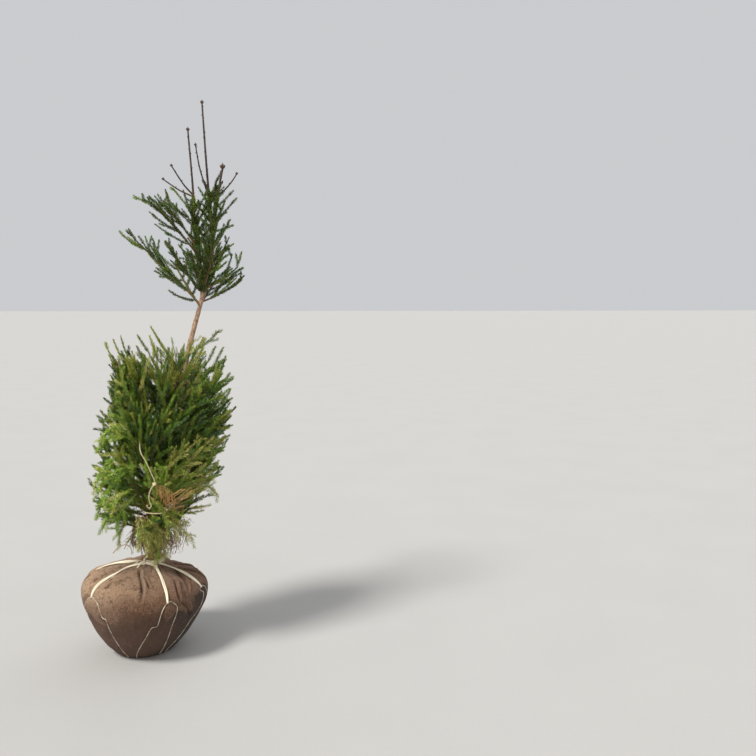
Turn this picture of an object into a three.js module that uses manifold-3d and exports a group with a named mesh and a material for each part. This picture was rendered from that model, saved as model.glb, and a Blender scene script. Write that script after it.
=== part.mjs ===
// A young spruce lifted for planting: a wrapped ball of soil, roped over and held by wire loops,
// a leaning trunk with three leaders, and a crown of tied-in masses below and open sprays above.
// Millimetres, +Z up. The origin is the centre of the ball's flat underside, and +X is the side
// that the trunk leans to. Angles are in degrees, counted from +X towards +Y.

import * as THREE from "three";
import { mergeVertices } from "three/addons/utils/BufferGeometryUtils.js";
import Module from "manifold-3d";

// Clear space between neighbours, and the distance within which corners are one corner.
const GAP = 0.3;
const SAME_CORNER = 1e-3;

// Root ball: [radius, height] from the rim of the underside to the rim of the trunk's seat.
const BALL_OUTLINE = [[135, 0], [186, 60], [238, 150], [277, 245], [258, 325], [160, 380], [50, 408]];
const BALL_SIDES = 26;
const BALL_RINGS = 10;
const BALL_LUMPS = 0.014;
const SHOULDER_TILT = 34;
const SEAT_HEIGHT = 408;
const SEAT_X = 45;

// Rope: a collar round the trunk's foot and legs that run out over the ball's shoulder.
const ROPE_RADIUS = 4.5;
const ROPE_CLEARANCE = 2.6;
const ROPE_START = 0.975;
const ROPE_SHARES = [0, 0.2, 0.4, 0.6, 0.8, 1];
const COLLAR_RADIUS = 42;
const COLLAR_HEIGHT = 416;
const ROPE_LEGS = [
  { angle: -150, end: 312 },
  { angle: -73, end: 294 },
  { angle: -25, end: 294 },
  { angle: 66, end: 296 },
  { angle: 165, end: 320 },
];

// Wire loops: each hangs on a rope leg's end, and both its legs run down to the underside.
const WIRE_RADIUS = 1.8;
const WIRE_CLEARANCE = 6;
const WIRE_FOOT_HEIGHT = 9;
const WIRE_PEAK = 0.985;
const WIRE_LEG = [[0, 0], [0.3, 0.12], [0.6, 0.3], [0.85, 0.62], [0.95, 0.86]];
const WIRE_LOOPS = [
  { top: -150, feet: [-172, -124] },
  { top: -73, feet: [-104, -64] },
  { top: -25, feet: [-54, 10] },
  { top: 66, feet: [38, 94] },
  { top: 165, feet: [138, 176] },
];

// Trunk and leaders: the points that each one's middle runs through.
const TRUNK_FOOT_RADIUS = 24;
const TRUNK_FORK_RADIUS = 6.5;
const ROOT_FLARE = 9;
const TRUNK_PATH = [
  [45, 0, SEAT_HEIGHT + GAP], [100, 6, 720], [160, 4, 1040], [222, 0, 1380],
  [253, -3, 1497], [301, 0, 1670], [331, 2, 1833], [356, 0, 2000],
];
const LEADERS = [
  {
    name: "leader_main",
    path: [[352, 0, 1994], [340, 2, 2045], [337, 0, 2110], [332, -3, 2191], [325, 0, 2318], [314, 0, 2537]],
    foot: 5.5,
    tip: 3,
  },
  {
    name: "leader_second",
    path: [[358, 0, 1996], [364, -2, 2050], [375, 0, 2108], [388, 2, 2180], [402, 0, 2250]],
    foot: 5.2,
    tip: 3.4,
  },
  {
    name: "leader_left",
    path: [[300, 3, 1674], [290, 8, 1777], [277, 10, 1915], [266, 6, 2028], [266, 2, 2121], [248, 0, 2411]],
    foot: 6.5,
    tip: 3,
  },
];

// Top twigs: thin shoots of the two upper whorls.
const TWIG_FOOT = 3.6;
const TWIG_TIP = 2.4;
const TWIGS = [
  { name: "twig_main_left", path: [[335, 0, 2112], [318, -12, 2166], [296, -18, 2240], [279, -20, 2342]] },
  { name: "twig_main_right", path: [[338, 0, 2106], [397, 12, 2139], [444, 20, 2190], [470, 26, 2230]] },
  { name: "twig_left_high", path: [[265, 2, 2120], [225, -14, 2160], [170, -30, 2241]] },
  { name: "twig_left_low", path: [[265, 2, 2112], [205, 22, 2142], [135, 44, 2191]] },
];

// Upper sprays: a bare bough leaves its limb and enters a needle-clad mass with two side shoots.
const SPRAY_BARE_SHARE = 0.2;
const SPRAY_GIRTH = 38;
const SPRAY_SIDE_SHARE = 0.58;
const SPRAY_SIDE_ANGLE = 30;
const BOUGH_FOOT = 6;
const BOUGH_TIP = 4;
const SOCKET_DEPTH = 14;
const SPRAYS = [
  { name: "left_long", root: [288, 0, 1616], tip: [-36, -22, 1944], lift: 6 },
  { name: "left_high", root: [283, 9, 1842], tip: [48, -46, 2095], lift: 16 },
  { name: "left_upper", root: [279, 9, 1878], tip: [119, 42, 2101], lift: 12 },
  { name: "right_high", root: [303, 0, 1684], tip: [477, -34, 1805], lift: -8 },
  { name: "right_low", root: [290, 0, 1628], tip: [488, 30, 1740], lift: -12 },
  { name: "front_high", root: [305, 0, 1696], tip: [345, -208, 1912], lift: -14 },
  { name: "back_high", root: [304, 0, 1690], tip: [262, 216, 1896], lift: -14 },
  { name: "front_low", root: [287, 0, 1606], tip: [152, -196, 1822], lift: -10 },
  { name: "back_low", root: [289, 0, 1622], tip: [404, 196, 1790], lift: -10 },
];

// Sleeves: the needles that the young wood still carries, round the limb itself.
const SLEEVES = [
  { name: "sleeve_trunk", from: [326, 2, 1800], to: [355, 0, 1978], girth: 27 },
  { name: "sleeve_left_leader", from: [276, 10, 1920], to: [266, 3, 2096], girth: 24 },
];

// Lower crown: its middle line, and its outer radius at each height.
const CROWN_FOOT_X = 20;
const CROWN_LEAN = 0.155;
const CROWN_FOOT = 440;
const CROWN_OUTLINE = [[440, 60], [520, 140], [620, 214], [800, 258], [1000, 280], [1200, 270], [1350, 240], [1490, 150]];
const TIERS = [
  { name: "skirt", count: 5, from: 462, to: 850, girth: 94, turn: -152, tips: [[-0.55, 60], [0.6, 40]] },
  { name: "belly", count: 5, from: 735, to: 1245, girth: 112, turn: -118, tips: [[-0.5, 45], [0.55, 70]] },
  { name: "shoulder", count: 4, from: 1105, to: 1440, girth: 96, turn: -140, tips: [[-0.5, 30], [0.6, 52]] },
];
const MASS_SIDES = 8;
const MASS_RINGS = 5;
const MASS_LUMPS = 0.12;
const TIP_FOOT = 26;
const TIP_END = 7;
const TRUNK_ROOM = 9;
const CHANNEL_SIDES = 6;
const CHANNEL_RINGS = 4;

// Lower boughs: each leaves the trunk at a height and enters one mass from inside.
const LOWER_BOUGH_SAG = 6;
const LOWER_BOUGH_ENTRY = 0.35;
const LOWER_BOUGHS = [
  { mass: "skirt_1", height: 448 },
  { mass: "skirt_3", height: 470 },
  { mass: "skirt_4", height: 456 },
  { mass: "belly_2", height: 742 },
  { mass: "shoulder_3", height: 1128 },
];

// Twine that holds the lower crown in: [angle round the crown, height], knot first.
const TWINE_RADIUS = 1.9;
const TWINE_SINK = 12;
const TWINE_ROUTE = [
  [-99, 724], [-99, 760], [-100, 812], [-96, 842], [-106, 924], [-118, 1010],
  [-125, 1071], [-152, 1190], [-190, 1285], [-225, 1345],
];

const COLOURS = {
  burlap: 0x7a5c48,
  rope: 0xe0cca2,
  wire: 0x9a8a78,
  bark: 0xa88c74,
  youngBark: 0x6b5f38,
  shoot: 0x6e4a3c,
  needles: 0x2f4a22,
  brightNeedles: 0x4f7a2c,
  twine: 0xe6d6b0,
};

const wasm = await Module();
wasm.setup();

const group = new THREE.Group();

const radians = THREE.MathUtils.degToRad;
const point = (place) => new THREE.Vector3(...place);
const smooth = (places) => new THREE.CatmullRomCurve3(places.map(point), false, "centripetal");

// A steady number from 0 to 1 for each name and turn, so that no two masses are alike.
function chance(name, turn) {
  let seed = turn * 7919 + 17;
  for (const letter of name) seed = (seed * 31 + letter.charCodeAt(0)) % 1000003;
  return THREE.MathUtils.seededRandom(seed);
}

// The value at a height of a list of [height, value] pairs.
function valueAt(pairs, height) {
  const last = pairs.length - 1;
  if (height <= pairs[0][0]) return pairs[0][1];
  if (height >= pairs[last][0]) return pairs[last][1];
  const next = pairs.findIndex(([level]) => level > height);
  const [low, from] = pairs[next - 1];
  const [high, to] = pairs[next];
  return THREE.MathUtils.mapLinear(height, low, high, from, to);
}

// Joins corners that coincide and drops the faces that closed up.
function welded(geometry) {
  const bare = new THREE.BufferGeometry();
  bare.setAttribute("position", geometry.getAttribute("position"));
  if (geometry.index) bare.setIndex(geometry.index);
  const merged = mergeVertices(bare, SAME_CORNER);
  const kept = [];
  for (let i = 0; i < merged.index.count; i += 3) {
    const [a, b, c] = merged.index.array.slice(i, i + 3);
    if (a !== b && b !== c && c !== a) kept.push(a, b, c);
  }
  merged.setIndex(kept);
  return merged;
}

function toSolid(geometry) {
  const { attributes, index } = welded(geometry);
  return new wasm.Manifold(
    new wasm.Mesh({
      numProp: 3,
      vertProperties: new Float32Array(attributes.position.array),
      triVerts: new Uint32Array(index.array),
    }),
  );
}

function toGeometry(solid) {
  const mesh = solid.getMesh();
  const geometry = new THREE.BufferGeometry();
  geometry.setAttribute("position", new THREE.BufferAttribute(mesh.vertProperties, mesh.numProp));
  geometry.setIndex(new THREE.BufferAttribute(mesh.triVerts, 1));
  geometry.computeVertexNormals();
  return geometry;
}

// A body turned about Y, from y = 0 to y = length, then swollen unevenly.
function turned(length, radiusAt, sides, rings, lumps) {
  const profile = [new THREE.Vector2(0, 0)];
  for (let i = 0; i <= rings; i += 1) {
    profile.push(new THREE.Vector2(radiusAt(i / rings), (length * i) / rings));
  }
  profile.push(new THREE.Vector2(0, length));
  const body = new THREE.LatheGeometry(profile, sides);
  const corners = body.getAttribute("position");
  for (let i = 0; lumps && i < corners.count; i += 1) {
    const factor = lumps(Math.atan2(corners.getX(i), corners.getZ(i)), corners.getY(i) / length);
    corners.setX(i, corners.getX(i) * factor);
    corners.setZ(i, corners.getZ(i) * factor);
  }
  return body;
}

// Lays a turned body along a curve. Level sections stay horizontal, and others face along the curve.
function laid(body, curve, length, level) {
  const corners = body.getAttribute("position");
  for (let i = 0; i < corners.count; i += 1) {
    const along = THREE.MathUtils.clamp(corners.getY(i) / length, 0, 1);
    const tangent = level ? new THREE.Vector3(0, 0, 1) : curve.getTangentAt(along);
    const side = level
      ? new THREE.Vector3(1, 0, 0)
      : new THREE.Vector3().crossVectors(tangent, new THREE.Vector3(0.3, 1, 0)).normalize();
    const front = new THREE.Vector3().crossVectors(side, tangent);
    const place = curve
      .getPointAt(along)
      .addScaledVector(tangent, corners.getY(i) - along * length)
      .addScaledVector(side, corners.getX(i))
      .addScaledVector(front, corners.getZ(i));
    corners.setXYZ(i, place.x, place.y, place.z);
  }
  return body;
}

// One limb, shoot or mass along a curve. A positive room makes it that much thicker and longer.
function limb({ path, radiusAt, sides = 8, rings = 8, level = false, lumps = null }, room = 0) {
  const curve = smooth(path);
  const length = curve.getLength();
  const grown = (along) => radiusAt(along) + room;
  const body = turned(length + 2 * room, grown, sides, rings, lumps);
  body.translate(0, -room, 0);
  return toSolid(laid(body, curve, length, level));
}

const taper = (foot, tip) => (along) => THREE.MathUtils.lerp(foot, tip, along);
const spindle = (girth) => (along) => girth * Math.sin(Math.PI * along ** 0.8) ** 0.7;

function addPiece(name, solid, colour, roughness = 0.9, metalness = 0) {
  const material = new THREE.MeshStandardMaterial({ color: colour, roughness, metalness });
  const mesh = new THREE.Mesh(toGeometry(solid), material);
  mesh.name = name;
  group.add(mesh);
}

// What is left of a solid when its neighbours, each with its room, are cut away.
function clearOf(solid, neighbours) {
  const rest = neighbours.reduce((left, neighbour) => left.subtract(neighbour), solid);
  return rest.decompose().reduce((most, piece) => (piece.volume() > most.volume() ? piece : most));
}

// Root ball

const ballProfile = new THREE.SplineCurve(BALL_OUTLINE.map(([radius, height]) => new THREE.Vector2(radius, height)));

// A point of the ball's skin: share runs from the underside's rim to the seat's rim.
function ballPoint(angle, share, lift = 0) {
  const along = ballProfile.getPoint(share);
  const tangent = ballProfile.getTangent(share);
  const turn = radians(angle);
  const band = Math.sin(Math.PI * share);
  const uneven = 1 + band * BALL_LUMPS * (Math.sin(3 * turn + 0.6) + 0.6 * Math.sin(5 * turn + 2));
  const radius = along.x * uneven + tangent.y * lift;
  const rise = along.y - tangent.x * lift - band * share * SHOULDER_TILT * Math.cos(turn);
  const seatShift = SEAT_X * share ** 3;
  return new THREE.Vector3(radius * Math.cos(turn) + seatShift, radius * Math.sin(turn), rise);
}

// The share of the ball's outline at which its skin reaches a height on the way up.
function shareAt(height) {
  let share = 0;
  while (ballProfile.getPoint(share).y < height) share += 0.005;
  return share;
}

function makeBall() {
  const profile = [new THREE.Vector2(0, 0)];
  for (let i = 0; i <= BALL_RINGS; i += 1) profile.push(new THREE.Vector2(1, i / BALL_RINGS));
  profile.push(new THREE.Vector2(0, 1));
  const body = new THREE.LatheGeometry(profile, BALL_SIDES);
  const corners = body.getAttribute("position");
  for (let i = 0; i < corners.count; i += 1) {
    const share = corners.getY(i);
    const onAxis = Math.hypot(corners.getX(i), corners.getZ(i)) < 0.5;
    const angle = THREE.MathUtils.radToDeg(Math.atan2(-corners.getZ(i), corners.getX(i)));
    const centre = new THREE.Vector3(share * SEAT_X, 0, share * SEAT_HEIGHT);
    const place = onAxis ? centre : ballPoint(angle, share);
    corners.setXYZ(i, place.x, place.y, place.z);
  }
  return toSolid(body);
}

// Trunk and leaders

const trunkRadius = (along) =>
  TRUNK_FORK_RADIUS + (TRUNK_FOOT_RADIUS - TRUNK_FORK_RADIUS) * (1 - along) ** 1.15 + ROOT_FLARE * Math.exp(-26 * along);
const trunkPlan = { path: TRUNK_PATH, radiusAt: trunkRadius, sides: 12, rings: 12, level: true };
const limbPlans = new Map();
const trunkCurve = smooth(TRUNK_PATH);

function trunkPointAt(height) {
  let along = 0;
  while (trunkCurve.getPoint(along).z < height) along += 0.002;
  return trunkCurve.getPoint(along);
}

// Each limb gives way to the ones made before it.
function addLimb(name, plan, colour) {
  const before = [...limbPlans.values()].map((other) => limb(other, GAP));
  addPiece(name, clearOf(limb(plan), before), colour);
  limbPlans.set(name, plan);
}

// Upper sprays

// A point of a bowed line from root to tip, lifted in its middle.
function bowed(root, tip, share, lift) {
  const place = point(root).lerp(point(tip), share);
  place.z += 4 * lift * share * (1 - share);
  return place.toArray();
}

function sprayParts({ name, root, tip, lift }) {
  const at = (share) => bowed(root, tip, share, lift);
  const length = point(root).distanceTo(point(tip));
  const socket = SPRAY_BARE_SHARE + SOCKET_DEPTH / length;
  const boughPlan = {
    path: [at(0), at(socket / 2), at(socket)],
    radiusAt: taper(BOUGH_FOOT, BOUGH_TIP),
    sides: 6,
    rings: 2,
  };
  const main = {
    path: [at(SPRAY_BARE_SHARE), at(0.45), at(0.7), at(1)],
    radiusAt: spindle(SPRAY_GIRTH + 6 * chance(name, 1)),
    sides: 6,
    rings: 5,
  };
  const run = point(tip).sub(point(root));
  const sides = [-1, 1].map((way) => {
    const share = 0.4 + 0.12 * way * (chance(name, 2) - 0.3);
    const reach = run.clone().multiplyScalar(SPRAY_SIDE_SHARE * (1 - share) * (1 + 0.3 * chance(name, 3 + way)));
    const across = new THREE.Vector3().crossVectors(run, new THREE.Vector3(0, 0, 1)).normalize();
    const swing = new THREE.Quaternion().setFromAxisAngle(
      new THREE.Vector3().crossVectors(across, run).normalize(),
      radians(SPRAY_SIDE_ANGLE * way),
    );
    const foot = point(at(share));
    const end = foot.clone().add(reach.applyQuaternion(swing));
    return {
      path: [foot.toArray(), bowed(foot.toArray(), end.toArray(), 0.5, -6), end.toArray()],
      radiusAt: spindle(SPRAY_GIRTH * 0.62),
      sides: 5,
      rings: 3,
    };
  });
  return { boughPlan, massPlans: [main, ...sides] };
}

const joined = (plans, room = 0) => plans.map((plan) => limb(plan, room)).reduce((all, next) => all.add(next));

// Lower crown

function crownPoint(angle, radius, height) {
  const middle = CROWN_FOOT_X + CROWN_LEAN * (height - CROWN_FOOT);
  return [middle + radius * Math.cos(radians(angle)), radius * Math.sin(radians(angle)), height];
}

function tierMasses(tier) {
  return Array.from({ length: tier.count }, (_, index) => {
    const name = `${tier.name}_${index + 1}`;
    const girth = tier.girth * (0.94 + 0.14 * chance(name, 1));
    const angle = tier.turn + (360 * index) / tier.count + 12 * (chance(name, 2) - 0.5);
    const top = tier.to + 50 * (chance(name, 3) - 0.5);
    const at = (share, swing = 0) => {
      const height = THREE.MathUtils.lerp(tier.from, top, share);
      const radius = Math.max(valueAt(CROWN_OUTLINE, height) - 0.92 * girth, 46);
      return crownPoint(angle + swing, radius, height);
    };
    const body = {
      path: [at(0), at(0.35), at(0.7), at(1)],
      radiusAt: spindle(girth),
      sides: MASS_SIDES,
      rings: MASS_RINGS,
      lumps: (turn, along) =>
        1 +
        MASS_LUMPS * Math.sin(2 * turn + 6 * chance(name, 4)) * Math.sin(5 * along + 6 * chance(name, 5)) +
        0.5 * MASS_LUMPS * Math.sin(5 * turn + 6 * chance(name, 6) + 7 * along),
    };
    const shoots = tier.tips.map(([lean, rise], number) => {
      const start = at(0.5, 14 * lean);
      const height = top + rise * (0.7 + 0.6 * chance(name, 7 + number));
      const end = crownPoint(angle + 34 * lean, valueAt(CROWN_OUTLINE, height) - 6, height);
      return { path: [start, at(0.8, 24 * lean), end], radiusAt: taper(TIP_FOOT, TIP_END), sides: 4, rings: 2 };
    });
    return { name, angle, plans: [body, ...shoots] };
  });
}

// Strands: rope legs and wire loops lie on the ball, and the twine lies in the crown

function strand(path, radius, sides, rings) {
  return { path, radiusAt: () => radius, sides, rings };
}

function ropePlan({ angle, end }) {
  const last = shareAt(end);
  const path = ROPE_SHARES.map((part) => {
    const share = THREE.MathUtils.lerp(ROPE_START, last, part);
    return ballPoint(angle, share, ROPE_RADIUS + ROPE_CLEARANCE).toArray();
  });
  return strand(path, ROPE_RADIUS, 6, 9);
}

function wirePlan({ top, feet }, end) {
  const lift = WIRE_RADIUS + WIRE_CLEARANCE;
  const [foot, peak] = [shareAt(WIRE_FOOT_HEIGHT), shareAt(end)];
  const at = (angle, part) => ballPoint(angle, THREE.MathUtils.lerp(foot, peak, part), lift).toArray();
  const leg = (angle) => WIRE_LEG.map(([part, swing]) => at(THREE.MathUtils.lerp(angle, top, swing), part));
  return strand([...leg(feet[0]), at(top, WIRE_PEAK), ...leg(feet[1]).reverse()], WIRE_RADIUS, 4, 17);
}

function collarPlan() {
  const ring = new THREE.TorusGeometry(COLLAR_RADIUS, ROPE_RADIUS, 5, 14);
  ring.translate(SEAT_X, 0, COLLAR_HEIGHT);
  return toSolid(ring);
}

function twinePiece(room = 0) {
  const path = TWINE_ROUTE.map(([angle, height]) =>
    crownPoint(angle, valueAt(CROWN_OUTLINE, height) - TWINE_SINK, height),
  );
  return limb(strand(path, TWINE_RADIUS, 4, 18), room);
}

// Assembly: each piece is cut clear of the ones that were there before it.

group.name = "sapling_with_root_ball";
addPiece("root_ball", makeBall(), COLOURS.burlap, 0.95);
addLimb("trunk", trunkPlan, COLOURS.bark);
for (const { name, path, foot, tip } of LEADERS) {
  addLimb(name, { path, radiusAt: taper(foot, tip), sides: 6, rings: 6, level: true }, COLOURS.youngBark);
}
for (const { name, path } of TWIGS) {
  addLimb(name, { path, radiusAt: taper(TWIG_FOOT, TWIG_TIP), sides: 5, rings: 4 }, COLOURS.shoot);
}

const sprays = SPRAYS.map((spray) => ({ name: spray.name, ...sprayParts(spray) }));
for (const { name, boughPlan } of sprays) addLimb(`bough_${name}`, boughPlan, COLOURS.youngBark);

const clumps = TIERS.flatMap(tierMasses);
for (const { mass, height } of LOWER_BOUGHS) {
  const { plans } = clumps.find(({ name }) => name === mass);
  const start = trunkPointAt(height);
  const entry = point(plans[0].path[0]).lerp(point(plans[0].path[1]), LOWER_BOUGH_ENTRY);
  const middle = start.clone().lerp(entry, 0.5);
  middle.z -= LOWER_BOUGH_SAG;
  const path = [start.toArray(), middle.toArray(), entry.toArray()];
  const plan = { path, radiusAt: taper(BOUGH_FOOT, BOUGH_TIP), sides: 6, rings: 3 };
  addLimb(`bough_${mass}`, plan, COLOURS.bark);
}

const limbsGrown = [...limbPlans].filter(([name]) => name !== "trunk").map(([, plan]) => limb(plan, GAP));
const channel = limb({ ...trunkPlan, sides: CHANNEL_SIDES, rings: CHANNEL_RINGS }, TRUNK_ROOM);
const taken = [channel, ...limbsGrown, twinePiece(GAP)];
const masses = [];
function addMass(name, plans, colour) {
  addPiece(name, clearOf(joined(plans), [...taken, ...masses]), colour);
  masses.push(joined(plans, GAP));
}
for (const { name, plans } of clumps) {
  addMass(name, plans, name.startsWith("skirt") ? COLOURS.brightNeedles : COLOURS.needles);
}
for (const { name, massPlans } of sprays) addMass(`spray_${name}`, massPlans, COLOURS.needles);
for (const { name, from, to, girth } of SLEEVES) {
  const path = [from, point(from).lerp(point(to), 0.5).toArray(), to];
  addMass(name, [{ path, radiusAt: spindle(girth), sides: 7, rings: 5 }], COLOURS.needles);
}

const collar = collarPlan();
const wirePlans = WIRE_LOOPS.map((loop, index) => wirePlan(loop, ROPE_LEGS[index].end));
const wiresGrown = wirePlans.map((plan) => limb(plan, GAP));
const collarGrown = toSolid(
  new THREE.TorusGeometry(COLLAR_RADIUS, ROPE_RADIUS + GAP, 5, 14).translate(SEAT_X, 0, COLLAR_HEIGHT),
);
addPiece("rope_collar", collar, COLOURS.rope);
ROPE_LEGS.forEach((leg, index) => {
  addPiece(`rope_leg_${index + 1}`, clearOf(limb(ropePlan(leg)), [collarGrown, ...wiresGrown]), COLOURS.rope);
});
wirePlans.forEach((plan, index) => addPiece(`wire_loop_${index + 1}`, limb(plan), COLOURS.wire, 0.5, 0.6));
addPiece("crown_twine", twinePiece(), COLOURS.twine);

export default group;
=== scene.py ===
# %% [markdown]
# A young spruce, lifted for planting. Its root ball is wrapped in burlap, roped over and held by
# wire loops, and the lower crown is tied in with twine. The packed solids give every size and place,
# and this script gives each of them its real surface. All lengths are in metres, the origin is the
# middle of the ball's underside, +Z is up, and the trunk leans to +X.

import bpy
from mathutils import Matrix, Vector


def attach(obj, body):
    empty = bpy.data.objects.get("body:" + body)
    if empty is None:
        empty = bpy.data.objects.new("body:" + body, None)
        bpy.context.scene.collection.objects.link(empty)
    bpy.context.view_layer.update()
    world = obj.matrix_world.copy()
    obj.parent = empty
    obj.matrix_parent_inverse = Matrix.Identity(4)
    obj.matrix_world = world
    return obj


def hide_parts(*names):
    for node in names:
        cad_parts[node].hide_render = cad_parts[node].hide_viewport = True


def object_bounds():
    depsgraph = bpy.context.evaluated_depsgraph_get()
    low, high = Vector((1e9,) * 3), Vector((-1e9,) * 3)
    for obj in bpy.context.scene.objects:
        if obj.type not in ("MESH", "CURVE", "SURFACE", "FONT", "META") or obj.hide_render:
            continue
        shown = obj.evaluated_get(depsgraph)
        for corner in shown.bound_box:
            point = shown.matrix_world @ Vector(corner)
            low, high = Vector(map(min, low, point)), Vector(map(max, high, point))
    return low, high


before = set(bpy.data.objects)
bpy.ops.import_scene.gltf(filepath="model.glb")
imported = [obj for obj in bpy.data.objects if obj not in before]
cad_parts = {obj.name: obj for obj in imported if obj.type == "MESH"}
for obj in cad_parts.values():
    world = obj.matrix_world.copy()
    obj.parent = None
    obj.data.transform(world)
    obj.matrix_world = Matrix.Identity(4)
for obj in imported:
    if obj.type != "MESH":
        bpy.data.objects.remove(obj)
cad_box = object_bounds()


def rounded(box):
    """A box's two corners, to the millimetre."""
    return [[round(float(value), 3) for value in corner] for corner in box]


print("solids", len(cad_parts), "in the box", rounded(cad_box))

# %% [markdown]
# Nearly everything on this plant is a line with a skin round it: trunk, twig, rope, wire and twine.
# They could be Blender curves, but a crown needs thousands of them, and one array of numbers for all
# of them is quicker to make and easier to bend by a rule. So lines are arrays of points here: one row
# for each line, one column for each station along it.

# %% Lines
import math

import bpy
import numpy as np
from mathutils import Vector, noise

dice = np.random.default_rng(23)
UP = np.array([0.0, 0.0, 1.0])
STRETCH_STEPS = 24


def unit(vectors):
    """The same directions, each one long."""
    return vectors / np.maximum(np.linalg.norm(vectors, axis=-1, keepdims=True), 1e-9)


def run_along(line):
    """The length run at each point of a line."""
    return np.concatenate([[0], np.cumsum(np.linalg.norm(np.diff(line, axis=0), axis=1))])


def evened(line, count):
    """The same line, as points at even steps of its length."""
    run = run_along(line)
    steps = np.linspace(0, run[-1], count)
    return np.column_stack([np.interp(steps, run, line[:, axis]) for axis in range(line.shape[1])])


def round_stretch(start, leave, end, arrive, t):
    """The place at part t of a round stretch, from its two ends and how it leaves and arrives."""
    return (
        (2 * t**3 - 3 * t**2 + 1) * start + (t**3 - 2 * t**2 + t) * leave
        + (3 * t**2 - 2 * t**3) * end + (t**3 - t**2) * arrive
    )


def smooth_line(places, count):
    """A round line through the places, by the centripetal Catmull-Rom rule that the solids use."""
    knots = np.asarray(places, float)
    ends = np.vstack([2 * knots[0] - knots[1], knots, 2 * knots[-1] - knots[-2]])
    gaps = np.sqrt(np.linalg.norm(np.diff(ends, axis=0), axis=1))
    t = np.linspace(0, 1, STRETCH_STEPS, endpoint=False)[:, None]
    pieces = []
    for first in range(len(knots) - 1):
        before, start, end, after = ends[first:first + 4]
        left, middle, right = gaps[first:first + 3]
        leave = middle * ((start - before) / left - (end - before) / (left + middle)) + end - start
        arrive = middle * ((after - end) / right - (after - start) / (middle + right)) + end - start
        pieces.append(round_stretch(start, leave, end, arrive, t))
    return evened(np.vstack([*pieces, knots[-1:]]), count)


def at_height(line, height):
    """The place on a rising line at each height."""
    return np.stack([np.interp(height, line[:, 2], line[:, axis]) for axis in range(3)], -1)


def compass(angle):
    """Level directions at angles in radians round the plant."""
    return np.stack([np.cos(angle), np.sin(angle), np.zeros_like(angle)], -1)


def around(middle, angle, radius, height):
    """Places at an angle and a radius round an upright line that stands at x = middle."""
    return np.stack([middle + radius * np.cos(angle), radius * np.sin(angle), height], -1)


def routed(routes, stations=9):
    """Routes in millimetres as smooth lines."""
    return np.stack([smooth_line(np.array(route) / 1000, stations) for route in routes])


arch = routed([[(0, 0, 0), (1000, 0, 1000), (2000, 0, 0)]], 5)
print("a round line of 5 points through 3:", arch.round(2).tolist())

# %% Skins round many lines at once
def grid_corners(rows, columns):
    """The numbers of a grid's corners, and of the ones that follow them sideways."""
    corner = np.arange(rows * columns).reshape(rows, columns)
    return corner, np.roll(corner, -1, axis=1)


def grid_cells(corner, following):
    """Two triangles for each cell of a grid that closes on itself sideways."""
    cells = [corner[:-1], following[:-1], following[1:], corner[:-1], following[1:], corner[1:]]
    return np.stack(cells, -1).reshape(-1, 3)


def skins(lines, radii, sides, up=None):
    """Closed round skins along all the lines: points and triangles. up is a side for the first corner."""
    lines = np.asarray(lines, float)
    count, stations = lines.shape[:2]
    forward = unit(np.gradient(lines, axis=1))
    if up is None:
        run = unit(lines[:, -1] - lines[:, 0])
        up = np.cross(run, np.eye(3)[np.abs(run).argmin(axis=1)])[:, None]
    side = unit(up - forward * np.sum(forward * up, axis=-1, keepdims=True))
    front = np.cross(forward, side)
    turn = 2 * np.pi * np.arange(sides) / sides
    ring = side[:, :, None] * np.cos(turn)[:, None] + front[:, :, None] * np.sin(turn)[:, None]
    radii = radii[:, :, None] if np.ndim(radii) == 2 else radii
    skin = lines[:, :, None] + ring * np.broadcast_to(radii, (count, stations, sides))[..., None]
    points = np.vstack([skin.reshape(-1, 3), lines[:, 0], lines[:, -1]])

    corner, following = grid_corners(stations, sides)
    shift = np.arange(count)[:, None, None] * stations * sides
    hub = np.broadcast_to(count * stations * sides + np.arange(count)[:, None], (count, sides))
    foot = np.stack([following[0] + shift[:, 0], corner[0] + shift[:, 0], hub], -1)
    tip = np.stack([corner[-1] + shift[:, 0], following[-1] + shift[:, 0], hub + count], -1)
    walls = grid_cells(corner, following) + shift
    return points, np.vstack([walls.reshape(-1, 3), foot.reshape(-1, 3), tip.reshape(-1, 3)])


def gathered(shapes):
    """Several sets of points and triangles as one."""
    shifts = np.cumsum([0] + [len(points) for points, _ in shapes[:-1]])
    return (
        np.vstack([points for points, _ in shapes]),
        np.vstack([triangles + shift for (_, triangles), shift in zip(shapes, shifts)]),
    )


_, box_triangles = skins([[(0, 0, 0), (0, 0, 1), (0, 0, 2)]], np.ones((1, 3)), 4)
print("a skin of 4 sides and 3 stations has", len(box_triangles), "triangles")

# %% Pieces from arrays
def add_piece(name, shape, finishes, nodes=(), shades=None, smooth=True):
    """One named mesh from points and triangles. shades gives each triangle's number in finishes."""
    points, triangles = shape
    mesh = bpy.data.meshes.new(name)
    mesh.vertices.add(len(points))
    mesh.vertices.foreach_set("co", points.astype(np.float32).ravel())
    mesh.loops.add(triangles.size)
    mesh.loops.foreach_set("vertex_index", triangles.astype(np.int32).ravel())
    mesh.polygons.add(len(triangles))
    mesh.polygons.foreach_set("loop_start", np.arange(0, triangles.size, 3, dtype=np.int32))
    mesh.polygons.foreach_set("loop_total", np.full(len(triangles), 3, np.int32))
    mesh.polygons.foreach_set("use_smooth", np.full(len(triangles), smooth))
    for finish in finishes:
        mesh.materials.append(finish)
    if shades is not None:
        mesh.polygons.foreach_set("material_index", np.asarray(shades, np.int32))
    mesh.update(calc_edges=True)
    thing = bpy.data.objects.new(name, mesh)
    bpy.context.scene.collection.objects.link(thing)
    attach(thing, "root")
    if nodes:
        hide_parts(*nodes)
    print(name, len(triangles), "triangles")
    return thing


def nodes_named(*starts):
    """The solids whose names begin with one of these words."""
    return sorted(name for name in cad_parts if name.startswith(starts))


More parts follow.
